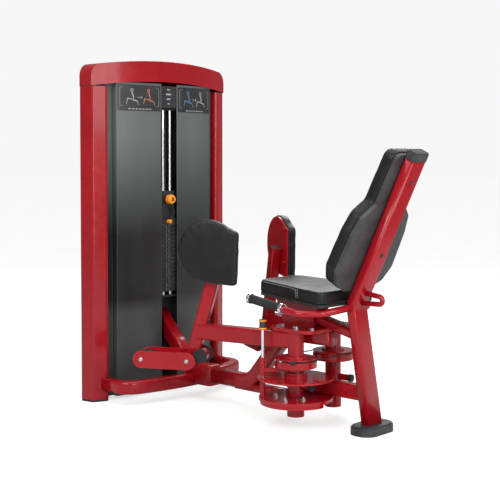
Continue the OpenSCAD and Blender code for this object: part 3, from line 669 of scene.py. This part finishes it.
slots = {row["node"]: row["material_slot"] for row in frame["record"]["subparts"]}
EDGE = {
    "tower_post_left": 0.002, "tower_post_right": 0.002, "tower_cap": 0.003, "base_frame": 0.0015,
    "rear_foot": 0.004, "foot_roller_left": 0.005, "foot_roller_right": 0.005,
    "shroud_front_left": 0.0008, "shroud_front_right": 0.0008, "shroud_rear": 0.0008,
    "guide_rods": 0.0, "lift_cable": 0.0, "link_cable": 0.0, "back_shell": 0.003,
    "top_sheave": 0.0006, "low_sheave": 0.0006, "plunger_knob": 0.002, "increment_knob": 0.002,
    "frame_bolts": 0.0008, "weight_plates": 0.001, "leg_caps_left": 0.002, "leg_caps_right": 0.002,
}
for name in nodes:
    dressed(name, LOOKS[slots[name]], EDGE.get(name, 0.0012))


# ---------------------------------------------------------------- thigh pads
def thigh(side):
    node, body = f"thigh_pad_{side}", f"{side}_arm"
    across = Vector(joints[f"{side}_roller_spin"]["axis"])
    outward = -across
    turn = basis(outward, Z)
    obj = cushion(f"thigh_cushion_{side}", node, turn, body, 0.0045, 0.0035, 0.006, 0.009, ease=5)
    tree = tree_of(obj)
    ring, mid, top = rim(node, turn)
    loop = eased(even(ring, 0.006), 3)
    low = [Vector((p.x, p.y, top - 0.033)) for p in inset(loop, 0.001)]
    high = [Vector((p.x, p.y, top - 0.002)) for p in inset(loop, 0.006)]
    build = Build()
    for line in (low, high):
        line = [turn @ p for p in line]
        press(obj, [p for p, _ in laid(tree, line)], 0.008, 0.0013)
        tree2 = tree_of(obj)
        welt(build, tree2, line, 0.0017, True, 0.55)
    build.make(f"thigh_welt_{side}", PIPE, body, "vinyl")


for side in ("left", "right"):
    thigh(side)


# ---------------------------------------------------------------- seat
def seat():
    turn = basis(Matrix.Rotation(SEAT_TILT, 3, "Y") @ Z, X)
    obj = cushion("seat_cushion", "seat_pad", turn, "frame", 0.005, 0.005, 0.006, 0.013, ease=12)
    tree = tree_of(obj)
    ring, mid, top = rim("seat_pad", turn)
    bottom = min((turn.transposed() @ v.co).z for v in nodes["seat_pad"].data.vertices)
    front, back = min(p.x for p in ring), max(p.x for p in ring)
    turn_at = front + (back - front) * 0.6

    def edge_y(x):
        """Half width of the seat at a place along it."""
        near = [p for p in even(ring, 0.004) if abs(p.x - x) < 0.006 and p.y > 0]
        return max(p.y for p in near) if near else 0.12

    side_line = []
    down = [(turn_at + 0.012, bottom + 0.004), (turn_at + 0.012, top - 0.016),
            (turn_at - 0.004, top - 0.003)]
    for x, z in down:
        side_line.append(Vector((x, edge_y(x) + 0.001, z)))
    for i in range(1, 12):
        x = turn_at - 0.004 - (turn_at - front - 0.04) * i / 11
        side_line.append(Vector((x, edge_y(x) - 0.006, top - 0.001)))
    corner = edge_y(front + 0.04) - 0.006
    nose = [Vector((front + 0.014, corner - 0.016, top - 0.001)),
            Vector((front + 0.008, corner - 0.045, top - 0.001))]
    half = side_line + nose
    line = half + [Vector((p.x, -p.y, p.z)) for p in reversed(half)]
    line = bent(line, 0.02, 4)
    dense = []
    for a, b in zip(line, line[1:]):
        steps = max(1, round((b - a).length / 0.004))
        dense += [a.lerp(b, i / steps) for i in range(steps)]
    dense = [turn @ p for p in dense]
    on = [p for p, _ in laid(tree, dense)]
    press(obj, on, 0.009, 0.0022)
    tree = tree_of(obj)
    build, sewn = Build(), Build()
    welt(build, tree, on, 0.0018, False, 0.6)
    for offset in (0.0055, -0.0055):
        stitches(sewn, tree, on, offset)
    low = [Vector((p.x, p.y, bottom + 0.005)) for p in inset(eased(even(ring, 0.006), 3), 0.001)]
    welt(build, tree, [turn @ p for p in low], 0.0018, True, 0.5)
    build.make("seat_welt", PIPE, "frame", "vinyl")
    sewn.make("seat_stitching", STITCH, "frame", "cord")


seat()


# ---------------------------------------------------------------- backrest
def backrest():
    forward = Matrix.Rotation(BACK_LEAN, 3, "Y") @ -X
    up = Matrix.Rotation(BACK_LEAN, 3, "Y") @ Z
    turn = basis(forward, up)
    obj = cushion("back_cushion", "back_pad", turn, "frame", 0.0055, 0.005, 0.008, 0.014, ease=5)
    tree = tree_of(obj)
    ring, mid, top = rim("back_pad", turn)
    loop = eased(even(ring, 0.007), 3)
    build, sewn = Build(), Build()
    front = [turn @ Vector((p.x, p.y, top - 0.006)) for p in inset(loop, 0.006)]
    rear = [turn @ Vector((p.x, p.y, top - 0.050)) for p in inset(loop, 0.001)]
    panel = [turn @ Vector((p.x, p.y, top)) for p in eased(inset(loop, 0.038), 6)]
    for line, depth in ((front, 0.0016), (rear, 0.0012), (panel, 0.0035)):
        on = [p for p, _ in laid(tree, line)]
        press(obj, on, 0.011, depth)
    tree = tree_of(obj)
    welt(build, tree, front, 0.002, True, 0.45)
    welt(build, tree, rear, 0.002, True, 0.45)
    for offset in (0.005, -0.005):
        stitches(sewn, tree, panel, offset, closed=True)
    build.make("back_welt", PIPE, "frame", "vinyl")
    sewn.make("back_stitching", STITCH, "frame", "cord")


backrest()


# ---------------------------------------------------------------- red tubes
def post_skin():
    """The rear post as one bent tube with rounded corners."""
    corners = sorted({(round(v.co.x, 4), round(v.co.z, 4)) for v in nodes["rear_post"].data.vertices},
                     key=lambda c: c[1])
    pairs = [corners[0:2], corners[2:4], corners[4:6]]
    mids = [Vector(((a[0] + b[0]) / 2, 0, (a[1] + b[1]) / 2)) for a, b in pairs]
    top, bend, foot = mids[2], mids[1], mids[0]
    low = (bend - foot).normalized()
    foot = foot - low * 0.002
    lo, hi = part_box("rear_post")
    depth = (Vector(pairs[2][0]) - Vector(pairs[2][1])).length
    path = bent([foot, bend, top], 0.09, 10)
    build = Build()
    build.loft(swept(path, round_rect(hi.y - lo.y, depth, 0.013, 6), side=Y))
    obj = build.make("rear_post_tube", LOOKS["red_paint"], "frame", "red_paint")
    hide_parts("rear_post")


def loop_skin():
    """D-shaped pull handle behind the post, one smooth bent bar."""
    lo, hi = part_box("rear_handle")
    r = 0.01
    path = bent([(lo.x, 0, hi.z - r), (hi.x - r, 0, hi.z - r - 0.012), (hi.x - r, 0, lo.z + r + 0.002),
                 (lo.x, 0, lo.z + r)], 0.0155, 8)
    build = Build()
    build.loft(swept(path, circle(r, 20), side=Y))
    obj = build.make("rear_handle_bar", LOOKS["red_paint"], "frame", "red_paint")
    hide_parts("rear_handle")


post_skin()
loop_skin()


def in_plan(x, z, y=0.0):
    """A place given by its distance from the tower's front line."""
    return Vector((hub_x - PIVOT_REACH + x, y, z))


def loop_path():
    """Centre line of the base loop: straight sides, rounded corners, bowed front."""
    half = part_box("base_frame")[1].y - LOOP_W / 2
    arc, corner = LOOP_ARC - LOOP_W / 2, LOOP_CORNER - LOOP_W / 2
    arc_x = LOOP_FRONT - LOOP_ARC
    side = half - corner
    corner_x = arc_x + math.sqrt((arc - corner) ** 2 - side ** 2)
    swing = math.atan2(side, corner_x - arc_x)
    z = LOOP_Z + LOOP_H / 2
    near = [in_plan(LOOP_START, z, -half)]
    for i in range(13):
        t = -math.pi / 2 + (math.pi / 2 - swing) * i / 12
        near.append(in_plan(corner_x + corner * math.cos(t), z, -side + corner * math.sin(t)))
    bow = []
    for i in range(1, 40):
        t = -swing + 2 * swing * i / 40
        bow.append(in_plan(arc_x + arc * math.cos(t), z, arc * math.sin(t)))
    return near + bow + [Vector((p.x, -p.y, p.z)) for p in reversed(near)]


def base_skin():
    """The base weldment: loop, middle block, swan-neck beam, floor tube and brace."""
    red = LOOKS["red_paint"]
    build = Build()
    build.loft(swept(loop_path(), round_rect(LOOP_H, LOOP_W, 0.015, 6), side=Z))
    middle = in_plan((BLOCK[0] + BLOCK[1]) / 2, 0)
    levels = [(BLOCK_Z[0], 0.002), (BLOCK_Z[0] + 0.002, 0.0), (BLOCK_Z[1] - 0.006, 0.0),
              (BLOCK_Z[1] - 0.002, 0.0018), (BLOCK_Z[1], 0.006)]
    build.loft([[middle + Vector((x, y, z)) for x, y in
                 round_rect(BLOCK[1] - BLOCK[0] - 2 * cut, 2 * BLOCK_HALF - 2 * cut, 0.014)]
                for z, cut in levels])
    neck = bent([in_plan(BLOCK[1] - 0.01, NECK_LOW), in_plan(0.5561, NECK_LOW),
                 in_plan(0.7524, NECK_HIGH), in_plan(NECK_END, NECK_HIGH)], 0.115, 14)
    build.loft(swept(neck, round_rect(0.06, 0.062, 0.013, 6), side=Y))
    build.loft(swept([in_plan(0.475, 0.0866), in_plan(0.875, 0.0866)],
                     round_rect(0.05, 0.034, 0.009), side=Y))
    down = Vector((math.sin(BRACE_TURN), 0, math.cos(BRACE_TURN)))
    top = in_plan(0.0, 0.327)
    rings = swept([top, top + down * 0.33], round_rect(0.06, 0.065, 0.012, 6), side=Y)
    wall_x = in_plan(LOOP_START, 0).x
    rings[0] = [p + down * ((wall_x - p.x) / down.x) for p in rings[0]]
    build.loft(rings)
    obj = build.make("base_weldment", red, "frame", "red_paint")
    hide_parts("base_frame")


base_skin()


def handle_skin():
    """Two bars that carry the grips and sweep in to the post."""
    lo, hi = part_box("handle_bars")
    glo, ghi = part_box("hand_grips")
    r = 0.014
    build = Build()
    along = Vector((math.cos(GRIP_FALL), 0, -math.sin(GRIP_FALL)))
    for s in (-1, 1):
        y = s * (ghi.y - 0.018)
        start = Vector((lo.x + 0.0018, y, hi.z - r - 0.0015))
        bend = start + along * 0.262
        path = bent([start, bend, Vector((hub_x + 0.153, s * 0.14, bend.z + 0.002)),
                     Vector((hub_x + 0.213, s * 0.04, 0.478))],
                    0.05, 8)
        build.loft(swept(path, circle(r, 24)))
    obj = build.make("handle_tubes", LOOKS["red_paint"], "frame", "red_paint")
    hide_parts("handle_bars")


handle_skin()


def grips():
    """Ribbed rubber sleeves with rolled ends."""
    glo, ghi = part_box("hand_grips")
    along = Vector((math.cos(GRIP_FALL), 0, -math.sin(GRIP_FALL)))
    length, r = 0.152, 0.018
    build = Build()
    for s in (-1, 1):
        y = s * (ghi.y - r)
        start = Vector((glo.x + r * math.sin(GRIP_FALL), y, ghi.z - r * math.cos(GRIP_FALL)))
        rings = [(0.0, 0.0142), (0.0, r - 0.0015), (0.0015, r)]
        count = 44
        for i in range(1, count):
            h = 0.002 + (length - 0.004) * i / count
            swell = 0.0006 * math.sin(math.pi * i / count)
            rings.append((h, r - 0.0007 + swell * 0.2 + (0.0006 if i % 2 else 0.0)))
        rings += [(length - 0.0015, r), (length, r - 0.0015), (length, 0.0142)]
        build.loft(turned(start, along, rings, 40))
    obj = build.make("grip_sleeves", LOOKS["black_rubber"], "frame", "black_rubber")
    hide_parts("hand_grips")


grips()


# ---------------------------------------------------------------- small fittings
def button_bolt(build, origin, axis, r, h, socket=True):
    """Domed bolt head with a sunk socket."""
    profile = [(-0.0005, r * 0.6), (-0.0005, r), (h * 0.35, r), (h * 0.7, r * 0.88), (h, r * 0.6)]
    if socket:
        profile += [(h, r * 0.42), (h * 0.45, r * 0.38), (h * 0.45, 0.0)]
    else:
        profile += [(h * 1.04, 0.0)]
    build.loft(turned(origin, axis, profile, 24))


# Turned outlines as (height, radius) pairs
WASHER = [(0, 0.0), (0, 0.0105), (0.0014, 0.011), (0.002, 0.0104), (0.002, 0.0)]
FERRULE = [(0, 0.002), (0, 0.0045), (0.02, 0.0045), (0.024, 0.003), (0.024, 0.001)]
CLAMP = [(0, 0.006), (0.004, 0.0075), (0.008, 0.0075), (0.0095, 0.004), (0.0095, 0.001)]


def foot_bolts(side):
    s = -1 if side == "left" else 1
    out = -Vector(joints[f"{side}_roller_spin"]["axis"])
    spin_at = Vector(joints[f"{side}_roller_spin"]["pos_m"])
    along = Vector((abs(out.y), -s * abs(out.x), 0))
    build = Build()
    local = [v.co for v in nodes[f"foot_bars_{side}"].data.vertices]
    face = max(p.dot(out) for p in local)
    first = spin_at - out * spin_at.dot(out) + out * (face - 0.0035)
    for reach in (0.0, 0.196):
        spot = first + along * reach
        build.loft(turned(spot - out * 0.0005, out, WASHER, 28))
        button_bolt(build, spot + out * 0.002, out, 0.0088, 0.005)
    build.make(f"foot_bolts_{side}", LOOKS["steel"], f"{side}_arm", "steel")


for side in ("left", "right"):
    foot_bolts(side)


def plate_marks():
    """Pale bezel round each pin hole."""
    lo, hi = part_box("weight_plates")
    build = Build()
    pitch = (hi.z - lo.z + 0.0005) / 16
    for i in range(17):
        z = lo.z + pitch * i + (pitch - 0.0005) / 2
        if i == 16:
            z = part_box("head_block")[0].z + 0.0125
        outer = [Vector((0, x, y)) for x, y in round_rect(0.021, 0.0125, 0.006, 5)]
        inner = [Vector((0, x, y)) for x, y in round_rect(0.0112, 0.0112, 0.0055, 5)]
        at = Vector((hi.x, 0, z))
        rings = [[at + p for p in outer], [at + p * 0.97 + X * 0.0006 for p in outer],
                 [at + p + X * 0.0006 for p in inner], [at + p for p in inner]]
        build.loft(rings, closed=True)
    build.make("plate_bezels", BEZEL, "frame", "placard")


plate_marks()


def on_sheet(tree, y, z):
    hit = tree.ray_cast(Vector((hub_x, y, z)), -X)
    return hit[0], hit[1]


def strip(build, tree, points, width, lift=0.0004, closed=False):
    """A printed line of even width that follows a bowed sheet; points are (y, z)."""
    count = len(points)
    rings = []
    for i, (y, z) in enumerate(points):
        a = points[i - 1] if (closed or i) else points[i]
        b = points[(i + 1) % count] if (closed or i < count - 1) else points[i]
        d = Vector((b[0] - a[0], b[1] - a[1])).normalized()
        ny, nz = -d.y * width / 2, d.x * width / 2
        left, n1 = on_sheet(tree, y + ny, z + nz)
        right, n2 = on_sheet(tree, y - ny, z - nz)
        rings.append([left - n1 * 0.0002, left + n1 * lift, right + n2 * lift, right - n2 * 0.0002])
    build.loft(rings, closed)


def frame_line(y, z, w, h, r):
    return [(y + a, z + b) for a, b in round_rect(w, h, r, 4)]


# Torso and two legs of the seated figure, with the width of each stroke
FIGURE = [
    ([(0, 0.024), (0.008, 0.004), (0.006, -0.008)], 0.0048),
    ([(0.006, -0.008), (-0.022, -0.004), (-0.028, -0.028)], 0.0042),
    ([(0.004, -0.01), (0.026, -0.014), (0.034, -0.03)], 0.0042),
]


def placards():
    """Generic exercise pictograms: framed panels, stick figures and arrows, no lettering."""
    for side, s in (("left", -1), ("right", 1)):
        node = f"placard_{side}"
        lo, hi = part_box(node)
        tree = tree_of(nodes[node])
        mid_y, mid_z = (lo.y + hi.y) / 2, (lo.z + hi.z) / 2
        pale, accent = Build(), Build()
        strip(pale, tree, frame_line(mid_y, mid_z + 0.004, 0.205, 0.084, 0.01), 0.0012, closed=True)
        # two poses of a seated figure, as plain strokes
        for shift, build in ((-0.042 * s, pale), (0.046 * s, accent)):
            y = mid_y - shift
            head = [(y + a, mid_z + 0.032 + b) for a, b in circle(0.0062, 12)]
            strip(build, tree, head, 0.003, closed=True)
            for stroke, width in FIGURE:
                strip(build, tree, [(y + a, mid_z + b) for a, b in stroke], width)
        arrow = [(mid_y - 0.014, mid_z + 0.002), (mid_y + 0.01, mid_z + 0.002)]
        strip(pale, tree, arrow, 0.002)
        barb = [(mid_y + 0.004, mid_z + 0.008), (mid_y + 0.011, mid_z + 0.002),
                (mid_y + 0.004, mid_z - 0.004)]
        strip(pale, tree, barb, 0.002)
        for k in range(7):
            dash = [(mid_y - 0.06 + k * 0.018, mid_z - 0.049),
                    (mid_y - 0.047 + k * 0.018, mid_z - 0.049)]
            strip(pale, tree, dash, 0.004)
        pale.make(f"placard_print_{side}", INK_PALE, "frame", "placard")
        accent.make(f"placard_accent_{side}", INK_BLUE if s > 0 else INK_WARM, "frame", "placard")
    node = "slot_label"
    lo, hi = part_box(node)
    tree = tree_of(nodes[node])
    build = Build()
    for k, w in enumerate((0.018, 0.03, 0.022, 0.014)):
        z = hi.z - 0.016 - k * 0.021
        strip(build, tree, [(-w / 2, z), (w / 2, z)], 0.008 if k in (1, 2) else 0.005)
    build.make("slot_print", INK_PALE, "frame", "placard")


placards()


def coil_cord():
    """Curly retaining cord between the head block and the selector pin."""
    lo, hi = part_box("lanyard")
    mid = (lo + hi) / 2
    arc_r = (hi.z - lo.z) / 2 - 0.003
    centre = Vector((mid.x, lo.y + 0.002, mid.z))
    path, turns, coil = [], 26, 0.0042
    count = turns * 10
    for i in range(count + 1):
        t = math.radians(-88 + 176 * i / count)
        radial = Vector((0, math.cos(t), math.sin(t)))
        spin = 2 * math.pi * turns * i / count
        path.append(centre + radial * (arc_r + coil * math.cos(spin)) + X * coil * math.sin(spin))
    build = Build()
    build.loft(swept(path, circle(0.0014, 6)))
    obj = build.make("coil_lanyard", LOOKS["cord"], "carriage", "cord")
    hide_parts("lanyard")


coil_cord()


def knob_details():
    """Amber rings on the start plunger, and dark crosses on the two stack knobs."""
    lo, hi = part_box("plunger_knob")
    mid = (lo + hi) / 2
    build = Build()
    for z, h in ((lo.z + 0.0008, 0.0078), (hi.z - 0.0075, 0.0068)):
        ring = [(0, 0.0145), (0.0006, 0.0162), (h - 0.0012, 0.0162), (h, 0.0148)]
        build.loft(turned(Vector((mid.x, mid.y, z)), Z, ring, 36))
    build.make("plunger_rings", LOOKS["knob_orange"], "plunger", "knob_orange")
    for node, body, r in (("increment_knob", "knob", 0.011), ("selector_pin", "pin", 0.006)):
        lo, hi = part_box(node)
        mid = (lo + hi) / 2
        build = Build()
        for spin in (45, 135):
            t = math.radians(spin)
            d = Vector((0, math.cos(t), math.sin(t)))
            n = Vector((0, -d.z, d.y))
            ring = [d * a * r + n * b * r * 0.22 for a, b in ((-1, -1), (1, -1), (1, 1), (-1, 1))]
            at = Vector((hi.x - 0.0012, mid.y, mid.z))
            build.loft([[at + p for p in ring], [at + p + X * 0.0016 for p in ring],
                        [at + p * 0.8 + X * 0.002 for p in ring]])
        build.make(f"{node}_mark", LOOKS["black_rubber"], body, "black_rubber")


knob_details()


def cable_clamp():
    """Crimp sleeve and rubber stop where the cam cable is anchored."""
    lo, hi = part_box("cam_left")
    mid = (lo + hi) / 2
    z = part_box("link_cable")[0].z + 0.0025
    reach = (hi.x - lo.x) / 2
    build, rubber = Build(), Build()
    for turn_deg, kind in ((262, "end"), (236, "end"), (300, "clamp"), (306, "clamp")):
        t = math.radians(turn_deg)
        out = Vector((math.cos(t), math.sin(t), 0))
        side = Vector((-out.y, out.x, 0))
        at = Vector((mid.x, mid.y, z)) + out * (reach + 0.001)
        if kind == "end":
            build.loft(turned(at - side * 0.012, side, FERRULE, 14))
        else:
            rubber.loft(turned(at - out * 0.004, out, CLAMP, 14))
    build.make("cable_ferrules", LOOKS["steel"], "drive", "steel")
    rubber.make("cable_clamps", LOOKS["black_rubber"], "drive", "black_rubber")


cable_clamp()


def cap_seams():
    """Thin dark gasket where the cap sits on each post."""
    for side in ("left", "right"):
        node = f"tower_post_{side}"
        turn = basis(Z, X)
        ring, mid, top = rim(node, turn)
        hull = []
        for p in ring:
            ray = (p - mid).normalized()
            if not any((q - mid).normalized().dot(ray) > 0.9995
                       and (q - mid).length > (p - mid).length + 0.002 for q in ring):
                hull.append(p)
        loop = even(hull, 0.004)
        build = Build()
        rings = []
        for dz, grow in ((-0.0016, -0.0008), (-0.0016, 0.0006), (0.0009, 0.0006), (0.0009, -0.0008)):
            rings.append([turn @ (p + Vector((0, 0, dz))) for p in inset(loop, -grow)])
        build.loft(rings, closed=True)
        build.make(f"cap_gasket_{side}", LOOKS["black_rubber"], "frame", "black_rubber")


cap_seams()


def weld_ring(build, origin, axis, radius, bead=0.003, count=None):
    """A run of stacked weld ripples round a tube."""
    axis = axis.normalized()
    u = axis.orthogonal().normalized()
    v = axis.cross(u)
    count = count or max(24, round(2 * math.pi * radius / 0.0022))
    rings = []
    for i in range(count):
        t = 2 * math.pi * i / count
        out = u * math.cos(t) + v * math.sin(t)
        size = bead * (0.85 + 0.3 * abs(math.sin(i * math.pi / 2.5)) + 0.08 * dice.random())
        at = origin + out * radius
        rings.append([at + (out * x + axis * y) * size for x, y in circle(1.0, 7)])
    build.loft(rings, closed=True)


SLEEVE_TOP, HUB_TOP = 0.3695, 0.1035


def welds():
    """Beads at the sleeve tops and round the two hubs under the lower plate."""
    for side in ("left", "right"):
        body = f"{side}_arm"
        lo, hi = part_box(f"cam_{side}")
        mid = (lo + hi) / 2
        build = Build()
        weld_ring(build, Vector((mid.x, mid.y, SLEEVE_TOP)), Z, 0.0322, 0.002)
        build.make(f"sleeve_weld_{side}", LOOKS["red_paint"], body, "red_paint")
    build = Build()
    for s in (-1, 1):
        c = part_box("cam_left" if s < 0 else "cam_right")
        mid = (c[0] + c[1]) / 2
        weld_ring(build, Vector((mid.x, mid.y, HUB_TOP)), Z, 0.0345, 0.003)
    build.make("hub_welds", LOOKS["red_paint"], "frame", "red_paint")


welds()


# ---------------------------------------------------------------- stage, light, camera
def by_ray(tree, choices, rest):
    """A number that depends on what kind of ray is asking."""
    path = tree.nodes.new("ShaderNodeLightPath")
    value = None
    for kind, level in choices:
        mix = tree.nodes.new("ShaderNodeMix")
        mix.inputs[2].default_value = rest
        if value is not None:
            tree.links.new(value, mix.inputs[2])
        mix.inputs[3].default_value = level
        tree.links.new(path.outputs[kind], mix.inputs[0])
        value = mix.outputs[0]
    return value


def stage():
    size = 40.0
    mesh = bpy.data.meshes.new("floor")
    corners = [(-size, -size, 0), (size, -size, 0), (size, size, 0), (-size, size, 0)]
    mesh.from_pydata(corners, [], [(0, 1, 2, 3)])
    floor = bpy.data.objects.new("floor", mesh)
    bpy.context.scene.collection.objects.link(floor)
    m = Paint("floor_pale", 0.8, specular=0.1)
    m.colour(m.mix(m.ramp(m.noise(3, 3), 0.0, 1.0), (0.52, 0.52, 0.52), (0.56, 0.56, 0.56)))
    m.bsdf.inputs["Emission Color"].default_value = (1, 1, 1, 1)
    m.link(by_ray(m.tree, [("Is Camera Ray", FLOOR_GLOW)], 0.0), m.bsdf.inputs["Emission Strength"])
    mesh.materials.append(m.mat)

    world = bpy.data.worlds.new("studio")
    bpy.context.scene.world = world
    world.use_nodes = True
    tree = world.node_tree
    back = tree.nodes["Background"]
    back.inputs["Color"].default_value = (1, 1, 1, 1)
    level = by_ray(tree, [("Is Diffuse Ray", ROOM_LIGHT), ("Is Camera Ray", 0.93)], ROOM_GLOSS)
    tree.links.new(level, back.inputs["Strength"])


FLOOR_GLOW, ROOM_LIGHT, ROOM_GLOSS = 0.62, 0.6, 0.27


def softbox(name, at, aim, width, height, power):
    data = bpy.data.lights.new(name, "AREA")
    data.shape = "RECTANGLE"
    data.size, data.size_y, data.energy = width, height, power
    obj = bpy.data.objects.new(name, data)
    obj.location = at
    obj.rotation_euler = (Vector(aim) - Vector(at)).to_track_quat("-Z", "Y").to_euler()
    bpy.context.scene.collection.objects.link(obj)


CAM_AT = Vector((hub_x + 2.746, -3.3817, 1.0628))
CAM_TURN = 42.49
CAM_PITCH = 2.21


def camera():
    data = bpy.data.cameras.new("view")
    data.lens, data.sensor_width, data.shift_y = 78.74, 36.0, -0.106
    obj = bpy.data.objects.new("view", data)
    obj.location = CAM_AT
    obj.rotation_euler = (math.radians(90 - CAM_PITCH), 0, math.radians(CAM_TURN))
    bpy.context.scene.collection.objects.link(obj)
    bpy.context.scene.camera = obj


stage()
softbox("key", (hub_x + 0.6, -4.4, 3.2), (hub_x - 0.4, 0, 0.8), 2.6, 2.2, 110)
softbox("fill", (hub_x + 4.2, 0.2, 2.4), (hub_x - 0.2, 0, 0.7), 2.4, 2.4, 70)
softbox("rim", (hub_x - 2.6, 2.8, 3.2), (hub_x - 0.2, 0, 0.5), 3.0, 1.6, 90)
softbox("top", (hub_x - 0.2, 0.0, 4.2), (hub_x - 0.2, 0, 0.6), 3.0, 3.0, 60)
softbox("strip", (hub_x + 2.9, -1.6, 1.5), (hub_x - 0.9, 0, 1.0), 0.7, 2.4, 40)
camera()
bpy.context.scene.view_settings.view_transform = "Standard"

bpy.context.view_layer.update()
